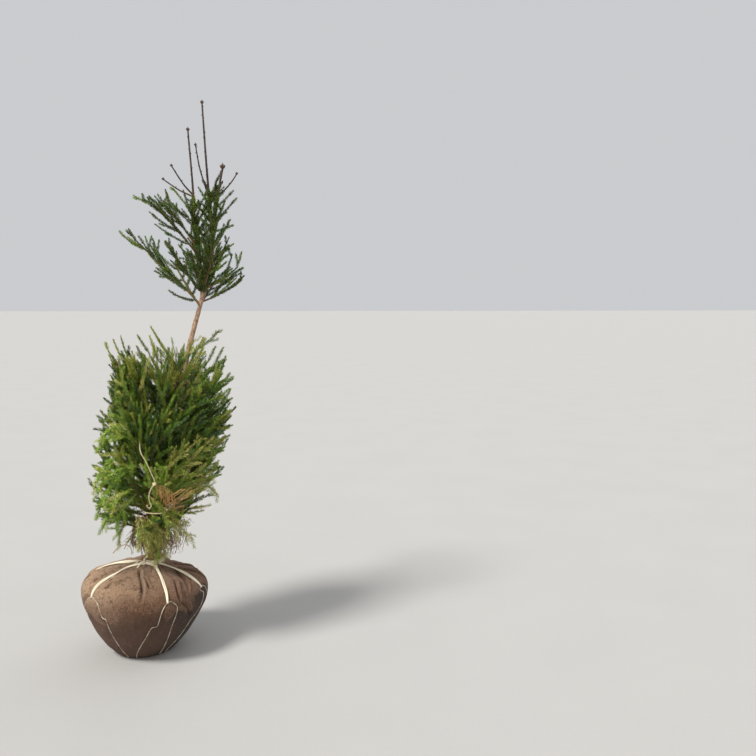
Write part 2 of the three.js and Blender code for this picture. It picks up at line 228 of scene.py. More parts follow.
print("solids of the ball's basket:", len(nodes_named("rope", "wire")))

# %% [markdown]
# Finishes are node trees. Wiring them by hand hides the sums in a tangle, so a small class stands for
# one socket: plain arithmetic on it adds Math nodes, and one method adds any other node. Colours go
# through Mix nodes, because a Math node would turn them grey.

# %% Shader sums
def feed(target, value):
    """Links a Value to a socket, or sets the socket to a plain number or colour."""
    if isinstance(value, Value):
        target.id_data.links.new(value.socket, target)
    else:
        target.default_value = value


class Value:
    """A socket of a finish's nodes, for use in sums."""

    def __init__(self, socket):
        self.socket = socket

    def node(self, kind, settings, sockets, out=0):
        """Any node: its settings first, then the values or links of its sockets."""
        made = self.socket.id_data.nodes.new(kind)
        for name, setting in settings.items():
            setattr(made, name, setting)
        for name, value in sockets.items():
            feed(made.inputs[name], value)
        return Value(made.outputs[out])

    def sum(self, operation, *values):
        """A sum that has no sign of its own, on Values or numbers."""
        return self.node("ShaderNodeMath", {"operation": operation}, dict(enumerate(values)))

    def __add__(self, other):
        return self.sum("ADD", self, other)

    def __sub__(self, other):
        return self.sum("SUBTRACT", self, other)

    def __rsub__(self, other):
        return self.sum("SUBTRACT", other, self)

    def __mul__(self, other):
        return self.sum("MULTIPLY", self, other)

    __radd__ = __add__
    __rmul__ = __mul__

    def axes(self):
        """The x, y and z of a Value that holds a place."""
        apart = self.node("ShaderNodeSeparateXYZ", {}, {0: self})
        return [Value(socket) for socket in apart.socket.node.outputs]

    def stretched(self, by):
        """A place multiplied by three numbers, which draws out the noise on it."""
        return self.node("ShaderNodeVectorMath", {"operation": "MULTIPLY"}, {0: self, 1: by})

    def step(self, low, high):
        """0 below low, 1 above high, and a soft step between."""
        sockets = {"Value": self, "From Min": low, "From Max": high}
        return self.node("ShaderNodeMapRange", {"interpolation_type": "SMOOTHSTEP"}, sockets)

    def choose(self, low, high):
        """The colour low where this value is 0, and high where it is 1."""
        return self.node("ShaderNodeMix", {"data_type": "RGBA"}, {0: self, 6: low, 7: high}, out=2)

    def grain(self, scale, detail=3.0):
        """Cloudy noise at this scale, from a Value that holds a place."""
        return self.node("ShaderNodeTexNoise", {}, {"Vector": self, "Scale": scale, "Detail": detail})

    def relief(self, depth, strength=1.0):
        """A bump of this depth in metres, for a shader's Normal."""
        return self.node("ShaderNodeBump", {}, {"Height": self, "Distance": depth, "Strength": strength})


print("a Value has:", [name for name in vars(Value) if not name.startswith("_")])

# %% Finish maker
def tint(red, green, blue):
    """A colour given as 0 to 255 on a screen, as the linear numbers that shaders use."""
    screen = np.array([red, green, blue]) / 255
    linear = np.where(screen <= 0.04045, screen / 12.92, ((screen + 0.055) / 1.055) ** 2.4)
    return (*linear.tolist(), 1.0)


def new_finish(name, **constants):
    """A new material, and the place on the object as a Value. Constants are the shader's own numbers."""
    finish = bpy.data.materials.new(name)
    finish.use_nodes = True
    dress(finish, {socket.replace("_", " "): value for socket, value in constants.items()})
    place = finish.node_tree.nodes.new("ShaderNodeTexCoord").outputs["Object"]
    return finish, Value(place)


def dress(finish, sockets):
    """Feeds the sockets of a finish's main shader."""
    shader = finish.node_tree.nodes["Principled BSDF"]
    for name, value in sockets.items():
        feed(shader.inputs[name], value)


print("mid grey on a screen is", round(tint(128, 128, 128)[0], 3), "for a shader")

# %% [markdown]
# The ball is a sack of soil: burlap pulled over it, gathered at the trunk's foot and pressed in by
# ropes and wires. A cloth simulation would hang on how it starts, so the skin follows the solid's own
# outline, and the pillows between the ropes, the pleats and the creases are added as relief.

# %% The ball's skin
BALL_OUTLINE = np.array([
    (135, 0), (186, 60), (238, 150), (277, 245), (258, 325), (160, 380), (50, 408),
]) / 1000
SEAT_X, SEAT_HEIGHT = 0.045, BALL_OUTLINE[-1][1]
SHOULDER_TILT, BALL_LUMPS = 0.034, 0.014


def outline_at(share):
    """Radius and height of the ball's outline at a share of the way up."""
    last = len(BALL_OUTLINE) - 1
    spot = np.clip(share, 0, 1) * last
    low = np.minimum(spot.astype(int), last - 1)
    t = (spot - low)[..., None]
    before, start, end, after = (BALL_OUTLINE[np.clip(low + step, 0, last)] for step in (-1, 0, 1, 2))
    return round_stretch(start, (end - before) / 2, end, (after - start) / 2, t)


def ball_skin(angle, share, lift=0.0):
    """Points of the skin, by the angle in radians and the share of the way from the rim to the seat."""
    angle, share = np.asarray(angle, float), np.asarray(share, float)
    place = outline_at(share)
    run = unit(outline_at(share + 0.002) - outline_at(share - 0.002))
    band = np.sin(np.pi * np.clip(share, 0, 1))
    uneven = 1 + band * BALL_LUMPS * (np.sin(3 * angle + 0.6) + 0.6 * np.sin(5 * angle + 2))
    radius = place[..., 0] * uneven + run[..., 1] * lift
    height = place[..., 1] - run[..., 0] * lift - band * share * SHOULDER_TILT * np.cos(angle)
    return around(SEAT_X * share**3, angle, radius, height)


def on_ball(route, count, lift=0.0):
    """A line over the ball through places given as (degrees round, millimetres up)."""
    levels = np.linspace(0, 1, 300)
    spots = []
    for degrees, height in route:
        angle = math.radians(degrees)
        heights = ball_skin(np.full(300, angle), levels)[:, 2]
        spots.append((angle, np.interp(height / 1000, heights, levels)))
    turns = smooth_line(spots, count)
    return evened(ball_skin(turns[:, 0], turns[:, 1], lift), count)


print("the ball is", round(2 * BALL_OUTLINE[:, 0].max(), 3), "across and", SEAT_HEIGHT, "high")

# %% Routes of the ropes and wires over the ball
# Places are degrees round the ball and millimetres up. A rope leg goes out from the collar. A wire
# climbs from the underside, hooks the end of its leg and goes down again.
ROPE_ROUTES = [
    [(-178, 409), (-188, 406), (-196, 396), (-199, 382), (-197, 364), (-192, 347), (-191, 322)],
    [(-140, 408), (-152, 402), (-149, 392), (-150, 379), (-151, 362), (-150, 340), (-148, 314)],
    [(-120, 409), (-100, 407), (-78, 399), (-73, 378), (-72, 345), (-72, 294)],
    [(-62, 406), (-46, 398), (-38, 389), (-32, 375), (-28, 356), (-27, 333), (-25, 295)],
    [(84, 407), (70, 402), (66, 384), (64, 350), (66, 298)],
]
WIRE_ROUTES = [
    [(-184, 9), (-184, 110), (-182, 226), (-184, 240), (-187, 296), (-191, 322), (-199, 300),
     (-206, 238), (-204, 222), (-212, 110), (-220, 9)],
    [(-172, 9), (-169, 110), (-164, 225), (-166, 240), (-158, 288), (-148, 314), (-137, 292),
     (-132, 240), (-128, 230), (-128, 183), (-126, 112), (-124, 60), (-123, 9)],
    [(-107, 9), (-103, 42), (-90, 139), (-85, 190), (-80, 194), (-79, 217), (-77, 260),
     (-73, 291), (-69, 297), (-65, 284), (-62, 264), (-64, 179), (-64, 122), (-66, 9)],
    [(-54, 9), (-52, 36), (-41, 94), (-34, 162), (-28, 188), (-24, 227), (-22, 264), (-28, 288),
     (-24, 298), (-17, 288), (-10, 250), (-5, 224), (-2, 208), (5, 110), (10, 9)],
    [(38, 9), (44, 110), (50, 225), (48, 238), (57, 278), (66, 296), (75, 278),
     (81, 230), (84, 220), (86, 110), (94, 9)],
]
ROPE_LIFT, WIRE_LIFT = 0.0054, 0.0016
ropes = [on_ball(route, 90, ROPE_LIFT) for route in ROPE_ROUTES]
wires = [on_ball(route, 220, WIRE_LIFT) for route in WIRE_ROUTES]
print("rope legs", [round(float(run_along(line)[-1]), 2) for line in ropes])

# %% Distances, soft steps and noise
def nearest(points, line):
    """For each point: its distance to the line, the side vector to it, and its share along the line."""
    best = np.full(len(points), np.inf)
    away, share = np.zeros_like(points), np.zeros(len(points))
    for number, (start, end) in enumerate(zip(line[:-1], line[1:])):
        run = end - start
        part = np.clip((points - start) @ run / (run @ run), 0, 1)
        gap = points - start - part[:, None] * run
        distance = np.linalg.norm(gap, axis=1)
        nearer = distance < best
        best[nearer] = distance[nearer]
        away[nearer] = gap[nearer]
        share[nearer] = (number + part[nearer]) / (len(line) - 1)
    return best, away, share


def eased(value, low, high):
    """0 below low, 1 above high, and a soft step between, for plain numbers."""
    part = np.clip((value - low) / (high - low), 0, 1)
    return part * part * (3 - 2 * part)


def bell(distance, width):
    """1 at no distance, falling off over the width."""
    return np.exp(-((distance / width) ** 2))


def cloudy(points, scale, seed):
    """Smooth noise from about -1 to 1 at each point."""
    return np.array([noise.noise(place) for place in points * scale + seed])


print("a soft step and a bell, from their middle out:", [
    (round(float(eased(place, -1, 1)), 2), round(float(bell(place, 0.5)), 2)) for place in (0, 0.5, 1)
])

# %% Creases and lumps
# Half width and rise in millimetres, and route over the ball.
FOLDS = [
    (10, 14, [(-122, 404), (-106, 388), (-98, 368), (-95, 338), (-96, 280)]),
    (6, 10, [(-100, 386), (-92, 368), (-86, 346)]),
    (6, 5, [(-104, 392), (-84, 384), (-74, 366)]),
    (7.5, 13, [(-22, 392), (-32, 364), (-42, 327), (-46, 288)]),
    (7.5, 11, [(-52, 362), (-58, 326), (-58, 284), (-56, 262)]),
    (7.5, 10, [(-58, 288), (-50, 250), (-44, 205), (-38, 178)]),
    (6, 8, [(-16, 380), (-26, 352), (-34, 322)]),
    (10, 9, [(-168, 400), (-166, 384), (-163, 362), (-166, 330)]),
    (8, 12, [(-124, 384), (-132, 374), (-138, 362), (-140, 346)]),
    (10, 6, [(6, 388), (2, 352), (-3, 306), (-2, 250)]),
    (10, 8, [(36, 394), (34, 362), (28, 318), (26, 240)]),
    (10, 8, [(96, 396), (98, 368), (104, 326), (102, 250)]),
    (8, 6, [(118, 392), (116, 362), (121, 318)]),
    (9, 7, [(176, 392), (178, 356), (184, 306), (182, 230)]),
]
LUMPS = [
    (52, 15, [(-160, 330), (-176, 350), (-198, 352)]),
    (60, -21, [(-20, 366), (4, 372), (40, 370)]),
    (50, -4, [(-120, 330), (-100, 335), (-82, 330)]),
    (9, -18, [(-137, 366), (-138, 358)]),
    (12, -10, [(-172, 401), (-168, 396)]),
]
longest = max(float(run_along(on_ball(route, 22))[-1]) for _, _, route in FOLDS)
print("creases", len(FOLDS), "up to", round(longest, 2), "long, lumps", len(LUMPS))

# %% Relief of the cloth
PILLOW, SWELLING, CRUMPLE, STREAK = 0.0042, 0.0044, 0.0013, 0.0016
ROPE_PRESS, WIRE_PRESS = 0.013, 0.009


def cloth_relief(points, normals, angle, share):
    """How far the burlap stands out of the plain skin, held down where a rope or wire is taut on it."""
    band = np.sin(np.pi * np.clip(share, 0, 1)) ** 0.7
    press = np.zeros(len(points))
    for lines, width in ((ropes, ROPE_PRESS), (wires, WIRE_PRESS)):
        for line in lines:
            distance, _, _ = nearest(points, line[::6])
            press = np.maximum(press, bell(distance, width))
    lift = PILLOW * band
    for width, rise, route in LUMPS:
        distance, _, _ = nearest(points, on_ball(route, 12))
        lift += rise / 1000 * bell(distance, width / 1000) * (1 - 0.5 * press)
    lift += SWELLING * band * cloudy(points, 11, 3.1) + CRUMPLE * band * cloudy(points, 34, 8.7)
    streaks = np.column_stack([9 * np.cos(angle), 9 * np.sin(angle), 2.5 * share])
    lift += STREAK * band * cloudy(streaks, 1.6, 5.3)
    lift -= press * np.maximum(lift, 0)
    for width, rise, route in FOLDS:
        line = on_ball(route, 22)
        distance, away, spot = nearest(points, line)
        across = np.cross(normals, unit(line[-1] - line[0]))
        reach = np.sign(np.sum(across * away, axis=1)) * distance / (width / 1000)
        ends = eased(spot, 0, 0.2) * (1 - eased(spot, 0.55, 1))
        lift += ends * (rise / 1000) * (bell(reach - 0.9, 1) - 1.5 * bell(1.7 * reach + 0.55, 1))
    return lift * eased(share, 0, 0.1)


print("the cloth is pressed in by", len(ropes), "rope legs and", len(wires), "wires")

# %% Neck of the cloth
# Radius and height of the gathered neck: in, out to its frill and in again at the trunk.
NECK = [(0.0440, 0.411), (0.0395, 0.4145), (0.0375, 0.418), (0.0380, 0.422), (0.0410, 0.427), (0.0420, 0.431),
        (0.0390, 0.433), (0.0340, 0.431), (0.0280, 0.428)]
NECK_LEAN = 0.17
PLEATS, PLEAT_DEPTH = 19, 0.0072


def pleats(angle):
    """Narrow valleys between broad ridges, from -1 to 0."""
    wave = np.abs(np.sin(0.5 * (PLEATS * angle + 1.3 * np.sin(2 * angle + 1) + 0.8 * np.sin(5 * angle))))
    return wave**0.6 - 1


def neck_ring(angle, radius, height, wave):
    """A wavy ring round the cloth's neck, which leans with the trunk."""
    return around(SEAT_X + NECK_LEAN * (height - SEAT_HEIGHT), angle, radius, height + wave)


print("the neck has", PLEATS, "pleats and", len(NECK), "rings")

# %% Burlap mesh
COLUMNS, SKIN_ROWS = 330, 130
# A small knob under the cloth at the right: its route, half width and rise.
KNOB = [(9, 336), (10, 332)]
KNOB_SIZE, KNOB_RISE = 0.010, 0.009
turns = 2 * np.pi * np.arange(COLUMNS) / COLUMNS
levels = np.linspace(0, 1, SKIN_ROWS)
angle, share = np.meshgrid(turns, levels)
plain = ball_skin(angle, share)
down = np.gradient(plain, axis=0)
round_way = np.roll(plain, -1, axis=1) - np.roll(plain, 1, axis=1)
normal = unit(np.cross(round_way, down))
places = plain.reshape(-1, 3)
lift = cloth_relief(places, normal.reshape(-1, 3), angle.ravel(), share.ravel())
lift += KNOB_RISE * bell(nearest(places, on_ball(KNOB, 3))[0], KNOB_SIZE)
lift = lift.reshape(angle.shape) + PLEAT_DEPTH * eased(share, 0.66, 0.95) * pleats(angle)
skin = plain + normal * lift[..., None]
skin[0, :, 2] = 0

under = [plain[0] * part * [1, 1, 0] for part in (0.02, 0.3, 0.6, 0.85, 0.97)]
neck = []
for radius, height in NECK:
    wide = radius * (1 + 0.12 * pleats(turns) + 0.03 * np.sin(3 * turns + 1))
    wave = 0.004 * np.sin(5 * turns + 1) * eased(height, 0.424, 0.437)
    neck.append(neck_ring(turns, wide, height, wave))
rows = np.stack([*under, *skin, *neck])
burlap_shape = rows.reshape(-1, 3), grid_cells(*grid_corners(len(rows), COLUMNS))
print("relief from", round(float(lift.min()), 4), "to", round(float(lift.max()), 4))

# %% [markdown]
# Burlap is a loose weave of brown jute. On the real ball it is dry on the shoulder, damp and
# darker from the wet soil below a wavy line, and smudged with earth. Its colour also holds painted
# light: a painted sunlit shoulder and left side, painted shade on the right side, darkest low down,
# and the darker lower half is partly painted shade too. The weave is two crossing waves,
# one round the ball and one up it. It feeds only the bump, so it stays cloth-like from any distance.

# %% Burlap finish
THREADS_ROUND, THREADS_UP = 620.0, 2400.0


def burlap_finish():
    """The cloth: a weave in its bump, and painted sunlight and shade, damp, earth, dust and fibres in its
    colour.
    """
    finish, place = new_finish("burlap", Roughness=0.95, Sheen_Weight=0.12, Specular_IOR_Level=0.25)
    across, away, height = place.axes()
    turn = place.sum("ARCTAN2", away, across)
    reach = place.node("ShaderNodeVectorMath", {"operation": "LENGTH"}, {0: place}, out="Value")
    threads = place.sum("SINE", turn * THREADS_ROUND) + place.sum("SINE", (reach + height) * THREADS_UP)
    clouds = place.grain(9.0, 4.0)
    blotches = place.grain(27.0, 6.0)
    patches = place.grain(58.0, 4.0)
    speckle = place.grain(520.0, 2.0)
    slub = place.grain(140.0, 3.0)
    fibre = place.grain(230.0, 2.0)
    # Darker below a wavy line: partly the damp of the wet soil, partly painted shade on the lower half.
    damp_and_painted_shade = 1 - (height + 0.26 * (clouds - 0.5) + 0.06 * (blotches - 0.5) - 0.06 * across).step(0.238, 0.266)
    # Painted sunlight: the shoulder and the left side are lighter, as if lit from the upper left.
    shoulder = (height + 0.1 * (clouds - 0.5) - 0.16 * across).step(0.295, 0.37)
    left = 1 - (across + 0.12 * (clouds - 0.5)).step(-0.24, -0.06)
    # Painted shade: the right side of the cloth is darker, as if in shadow.
    right = (across + 0.25 * (clouds - 0.5)).step(0.0, 0.20)
    earth = (blotches + 0.35 * (slub - 0.5)).step(0.56, 0.70)
    dusty = (1 - patches).step(0.54, 0.72) * (1 - right)
    pale_fibre = damp_and_painted_shade.choose(tint(164, 128, 98), tint(112, 81, 60))
    # Painted light: a shaded copy of the cloth's colour and a lighter sunlit one.
    colour = (shoulder * 0.6 + left * 0.4).choose(tint(100, 70, 51), tint(184, 154, 124))
    colour = (damp_and_painted_shade * 0.95).choose(colour, tint(98, 68, 46))
    # The right side in painted shade, darkest where it is low and damp.
    colour = right.choose(colour, damp_and_painted_shade.choose(tint(122, 90, 68), tint(42, 30, 23)))
    colour = (earth * 0.7).choose(colour, tint(88, 54, 36))
    colour = (patches.step(0.50, 0.70) * 0.5).choose(colour, tint(80, 57, 42))
    colour = (dusty * 0.35).choose(colour, tint(146, 112, 86))
    colour = ((fibre - 0.5) * 2.6 + 0.24).step(0.0, 1.0).choose(colour, pale_fibre)
    colour = (slub.step(0.42, 0.66) * 0.42).choose(colour, tint(68, 47, 35))
    dress(finish, {
        "Base Color": colour,
        "Normal": (threads * 0.35 + speckle * 1.2 + slub * 1.5).relief(0.0016, 0.8),
    })
    return finish


burlap = burlap_finish()
add_piece("burlap_ball", burlap_shape, [burlap], ["root_ball"])

# %% [markdown]
# The ropes are pale sisal, laid from three strands. A striped texture would do from afar, but the
# outline of a rope is what tells it from a tube, so each strand is its own helix. A leg is two cords
# side by side, as the rope goes out to its wire loop, round it and back to the trunk.

# %% Rope maker
BALL_MIDDLE = np.array([0, 0, 0.2])


def cord(line, radius, up, pitch=0.022, strands=3, sides=7):
    """A laid cord: strands that wind round the line."""
    forward = unit(np.gradient(line, axis=0))
    side = unit(up - forward * np.sum(forward * up, axis=1, keepdims=True))
    front = np.cross(forward, side)
    winding = 2 * np.pi * run_along(line) / pitch
    lines = []
    for number in range(strands):
        turn = (winding + 2 * np.pi * number / strands)[:, None]
        lines.append(line + 0.5 * radius * (side * np.cos(turn) + front * np.sin(turn)))
    ups = np.broadcast_to(side, (strands, *side.shape))
    thick = np.full((strands, len(line)), 0.56 * radius)
    thick[:, [0, -1]] *= 0.5
    return skins(lines, thick, sides, ups)


def outward(line):
    """Directions away from the middle of the ball."""
    return unit(line - BALL_MIDDLE)


test_line = np.linspace([0, 0, 0.5], [0.1, 0, 0.5], 50)
print("a cord of 0.1 m has", len(cord(test_line, 0.0035, outward(test_line))[1]), "triangles")

# %% Legs, turns and knots of cord
CORD_RADIUS = 0.0035
# Which way a knot's ring lies, a little tilted and flattened.
LAY = [(0.86, 0.35, 0.12), (-0.30, 0.72, 0.45), (0.05, -0.42, 0.80)]


def leg_cords(line, number):
    """Two cords side by side that turn round the wire at the end of a leg."""
    across = unit(np.cross(unit(np.gradient(line, axis=0)), outward(line)))
    share = np.linspace(0, 1, len(line))[:, None]
    spread = CORD_RADIUS * (1.0 + 0.2 * np.sin(9 * share + number)) * (1 - share**8)
    height = outward(line) * CORD_RADIUS * 0.5 * np.sin(7 * share + 2 * number)
    out_line = line + across * spread + height
    back_line = line - across * spread - height
    both = evened(np.vstack([out_line, back_line[::-1]]), 2 * len(line) + 30)
    return cord(both, CORD_RADIUS, outward(both))


def collar_turn(height, radius, phase):
    """One turn of cord round the trunk's foot, a little uneven."""
    turn = np.linspace(0, 2 * np.pi * 0.985, 120) + phase
    wide = radius + 0.0014 * np.sin(3 * turn + 2 * phase)
    line = neck_ring(turn, wide, height, 0.0022 * np.sin(2 * turn + phase))
    return cord(line, CORD_RADIUS, np.broadcast_to(UP, line.shape))


def knot(centre, size):
    """A tight overhand knot: a line that winds twice round a ring and three times through it."""
    turn = np.linspace(0, 2 * np.pi, 110)
    ring = 2 + np.cos(3 * turn)
    flat = np.column_stack([ring * np.cos(2 * turn), ring * np.sin(2 * turn), 1.3 * np.sin(3 * turn)]) / 3
    line = centre + size * flat @ np.array(LAY)
    return cord(line, CORD_RADIUS * 0.95, outward(line))


print("a knot has", len(knot(UP, 0.012)[1]), "triangles")

# %% Rope legs, collar and knot
# Height, radius and start of each turn of the collar.
COLLAR_TURNS = [(0.4105, 0.0445, 0.1), (0.4165, 0.0425, 0.9), (0.4225, 0.0435, 2.2), (0.4195, 0.0475, 3.6)]
KNOT_AT, SECOND_KNOT = np.array([0.002, -0.036, 0.415]), np.array([0.022, -0.046, 0.416])
BAND_ROUTE = [(-158, 410), (-135, 411), (-108, 411), (-86, 406), (-76, 400)]
LOOSE_ENDS = [
    [(4, -38, 417), (2, -46, 430), (8, -48, 440), (16, -44, 446)],
    [(0, -40, 415), (-12, -54, 420), (-20, -60, 411), (-30, -66, 403)],
    [(-20, -6, 414), (-52, -44, 408), (-104, -78, 398), (-150, -110, 375)],
]
collar = gathered([collar_turn(*turn) for turn in COLLAR_TURNS])
legs = gathered([leg_cords(line, number) for number, line in enumerate(ropes)])
tied = gathered([
    knot(KNOT_AT, 0.012),
    knot(SECOND_KNOT, 0.009),
    leg_cords(on_ball(BAND_ROUTE, 50, 2.2 * CORD_RADIUS), 2),
    *(cord(line, CORD_RADIUS * 0.8, outward(line)) for line in routed(LOOSE_ENDS, 40)),
])
print("triangles of collar, legs and knot:", [len(triangles) for _, triangles in (collar, legs, tied)])

# %% Rope finish
def fibre_finish(name, light, dark):
    """Dry plant fibre: fine hairs of a light and a dark colour, and darker stains."""
    finish, place = new_finish(name, Roughness=0.9, Specular_IOR_Level=0.3)
    hairs = place.grain(900.0, 3.0)
    stains = place.grain(38.0, 4.0)
    colour = hairs.step(0.35, 0.65).choose(dark, light)
    colour = (stains.step(0.52, 0.75) * 0.35).choose(colour, dark)
    dress(finish, {"Base Color": colour, "Normal": hairs.relief(0.0006, 0.7)})
    return finish


sisal = fibre_finish("sisal_rope", tint(255, 250, 232), tint(232, 216, 184))
add_piece("rope_collar_cords", collar, [sisal], ["rope_collar"])
add_piece("rope_leg_cords", legs, [sisal], nodes_named("rope_leg"))
add_piece("rope_knot", tied, [sisal])

# %% [markdown]
# The wires are loops of soft steel, dulled by soil, with a crimp in each leg where the basket was
# tightened. Bevelled curves could make them too. Here they are thin skins on the routes above, with
# points set so close that the crimps stay sharp. Dull steel is part metal and part brown film.

# %% Wires
WIRE_RADIUS = 0.0020
wire_lines = np.stack(wires)
wire_shape = skins(wire_lines, np.full(wire_lines.shape[:2], WIRE_RADIUS), 8, outward(wire_lines))


def wire_finish():
    """Dull steel under patches of brown film."""
    finish, place = new_finish("dull_steel", Metallic=0.2)
    film = place.grain(60.0, 4.0).step(0.4, 0.65)
    dress(finish, {
        "Base Color": film.choose(tint(216, 206, 188), tint(164, 142, 118)),
        "Roughness": 0.42 + 0.25 * film,
    })
    return finish


add_piece("wire_loops", wire_shape, [wire_finish()], nodes_named("wire_loop"))

# %% [markdown]
# Up to the whorl where the left leader leaves, the trunk has old bark: pinkish grey with small scales,
# swollen where whorls of boughs sit. Above it the wood is young, olive, and ridged where needles sat. A
# cone with a bump in its finish would be too smooth in outline. So a mesh with its own relief carries
# the swellings and scales, and the finish changes from old bark to young with height.

# %% Trunk line and relief
TRUNK_PATH = np.array([
    (45, 0, 408.3), (100, 6, 720), (160, 4, 1040), (222, 0, 1380),
    (253, -3, 1497), (301, 0, 1670), (331, 2, 1833), (356, 0, 2000),
]) / 1000
TRUNK_FOOT, TRUNK_FORK, ROOT_FLARE = 0.024, 0.0065, 0.009
# Swellings where whorls of boughs leave the trunk: height and rise.
WHORLS = [
    (0.545, 0.0022), (0.780, 0.0025), (1.020, 0.0022), (1.262, 0.0018), (1.668, 0.0034), (1.992, 0.0024),
]
WHORL_WIDTH, YOUNG_FROM = 0.012, 1.66
TRUNK_SIDES, SCALE_DEPTH, PEG_DEPTH = 30, 0.0009, 0.0004
trunk_line = smooth_line(TRUNK_PATH, 480)


def bark_radii(line, radius, sides, depth, seed):
    """Radii with scales and long ridges, one row for each station."""
    turn = 2 * np.pi * np.arange(sides) / sides
    run = run_along(line)[:, None]
    places = np.stack(np.broadcast_arrays(np.cos(turn) * 1.3, np.sin(turn) * 1.3, run * 38), -1)
    scales = cloudy(places.reshape(-1, 3), 1.9, seed).reshape(len(line), sides)
    ridges = cloudy(places.reshape(-1, 3) * [3, 3, 0.4], 1.6, seed + 4).reshape(len(line), sides)
    return radius[:, None] + depth * (scales + 0.6 * ridges)


trunk_share = np.linspace(0, 1, len(trunk_line))
trunk_radius = TRUNK_FORK + (TRUNK_FOOT - TRUNK_FORK) * (1 - trunk_share) ** 1.15
trunk_radius += ROOT_FLARE * np.exp(-26 * trunk_share)
for height, swell in WHORLS:
    trunk_radius += swell * bell(trunk_line[:, 2] - height, WHORL_WIDTH)
young = eased(trunk_line[:, 2], YOUNG_FROM, YOUNG_FROM + 0.05)
trunk_radii = bark_radii(trunk_line, trunk_radius, TRUNK_SIDES, SCALE_DEPTH, 2.0)
pegs = np.sin(12 * 2 * np.pi * np.arange(TRUNK_SIDES) / TRUNK_SIDES + 900 * run_along(trunk_line)[:, None])
trunk_radii += PEG_DEPTH * young[:, None] * pegs
trunk_shape = skins(trunk_line[None], trunk_radii[None], TRUNK_SIDES)
print("trunk radius", round(float(trunk_radius[0]), 4), "to", round(float(trunk_radius[-1]), 4))

# %% Bark finishes
def bark_finish(name, old_light, old_dark, young_light, young_dark, change):
    """Bark that turns from an old to a young look at a height."""
    finish, place = new_finish(name, Roughness=0.85, Specular_IOR_Level=0.3)
    _, _, height = place.axes()
    plates = place.stretched((1.0, 1.0, 0.35)).grain(190.0, 5.0)
    moss = place.grain(26.0, 4.0)
    old = plates.step(0.38, 0.62).choose(old_dark, old_light)
    old = (moss.step(0.55, 0.72) * 0.4).choose(old, tint(120, 112, 92))
    fresh = plates.step(0.35, 0.65).choose(young_dark, young_light)
    youth = (height + 0.03 * (moss - 0.5)).step(change - 0.015, change + 0.03)
    dress(finish, {"Base Color": youth.choose(old, fresh), "Normal": plates.relief(0.0012, 0.8)})
    return finish


trunk_bark = bark_finish(
    "trunk_bark", tint(196, 164, 138), tint(146, 114, 92), tint(128, 112, 66), tint(88, 76, 44), YOUNG_FROM
)
add_piece("trunk_with_bark", trunk_shape, [trunk_bark], ["trunk"])

# %% [markdown]
# Three leaders top the tree. They are this year's shoots, so above the last whorl they are bare and
# reddish brown, with four thinner shoots beside them. The growth rule further down could make them too,
# but every bend of a bare shoot shows against the sky, so each keeps the line and taper of its solid.

# %% Leaders and top twigs
# Radius at the foot and at the tip, and route, all in millimetres.
LEADERS = {
    "leader_main": (6.0, 3.6, [
        (352, 0, 1994), (340, 2, 2045), (337, 0, 2110), (332, -3, 2191), (325, 0, 2318), (314, 0, 2537),
    ]),
    "leader_second": (6.4, 4.6, [
        (358, 0, 1996), (364, -2, 2050), (375, 0, 2108), (388, 2, 2180), (402, 0, 2250),
    ]),
    "leader_left": (6.8, 3.6, [
        (300, 3, 1674), (290, 8, 1777), (277, 10, 1915), (266, 6, 2028), (266, 2, 2121), (248, 0, 2411),
    ]),
}
TWIGS = {
    "twig_main_left": (4.0, 2.8, [(335, 0, 2112), (318, -12, 2166), (296, -18, 2240), (279, -20, 2342)]),
    "twig_main_right": (4.0, 2.8, [(338, 0, 2106), (397, 12, 2139), (444, 20, 2190), (470, 26, 2230)]),
    "twig_left_high": (4.0, 2.8, [(265, 2, 2120), (225, -14, 2160), (170, -30, 2241)]),
    "twig_left_low": (4.0, 2.8, [(265, 2, 2112), (205, 22, 2142), (135, 44, 2191)]),
}
SHOOT_STATIONS, SHOOT_SIDES, RIDGE_DEPTH = 130, 10, 0.0003


def bare_shoots(shoots, seed):
    """Young shoots with fine ridges: the line of each by its name, and one skin for all."""
    lines, shapes = {}, []
    for number, (name, (foot, tip, route)) in enumerate(shoots.items()):
        line = smooth_line(np.array(route) / 1000, SHOOT_STATIONS)
        radius = np.linspace(foot, tip, SHOOT_STATIONS) / 1000
        radius[-1] *= 0.4
        radii = bark_radii(line, radius, SHOOT_SIDES, RIDGE_DEPTH, seed + number)
        lines[name] = line
        shapes.append(skins(line[None], radii[None], SHOOT_SIDES))
    return lines, gathered(shapes)


leader_lines, leader_shape = bare_shoots(LEADERS, 5.0)
twig_lines, twig_shape = bare_shoots(TWIGS, 15.0)
leader_bark = bark_finish(
    "leader_bark", tint(122, 108, 64), tint(80, 70, 42), tint(96, 78, 70), tint(58, 46, 42), 2.12
)
add_piece("leaders_with_bark", leader_shape, [leader_bark], list(LEADERS))
add_piece("top_twigs", twig_shape, [leader_bark], list(TWIGS))

# %% [markdown]
# The crown grows by one rule, used over and over. A bough leaves the trunk, swings out and is drawn up
# by the twine. Side shoots leave it on both sides, leaning forward and getting shorter towards its tip,
# and finer shoots leave those. Particles would be lost in an export, so every shoot is a real line.

# %% Shoots as arrays
def along(lines, owner, share):
    """The place and the direction at a share of each owner's line."""
    last = lines.shape[1] - 1
    spot = np.clip(share, 0, 1) * last
    low = np.minimum(spot.astype(int), last - 1)
    start, end = lines[owner, low], lines[owner, low + 1]
    return start + (end - start) * (spot - low)[:, None], unit(end - start)


def lengths(lines):
    """The length of each line."""
    return np.linalg.norm(np.diff(lines, axis=1), axis=2).sum(axis=1)


def dealt(counts):
    """Owner and order of each child, for a number of children each."""
    owner = np.repeat(np.arange(len(counts)), counts)
    return owner, np.arange(len(owner)) - np.repeat(np.cumsum(counts) - counts, counts)


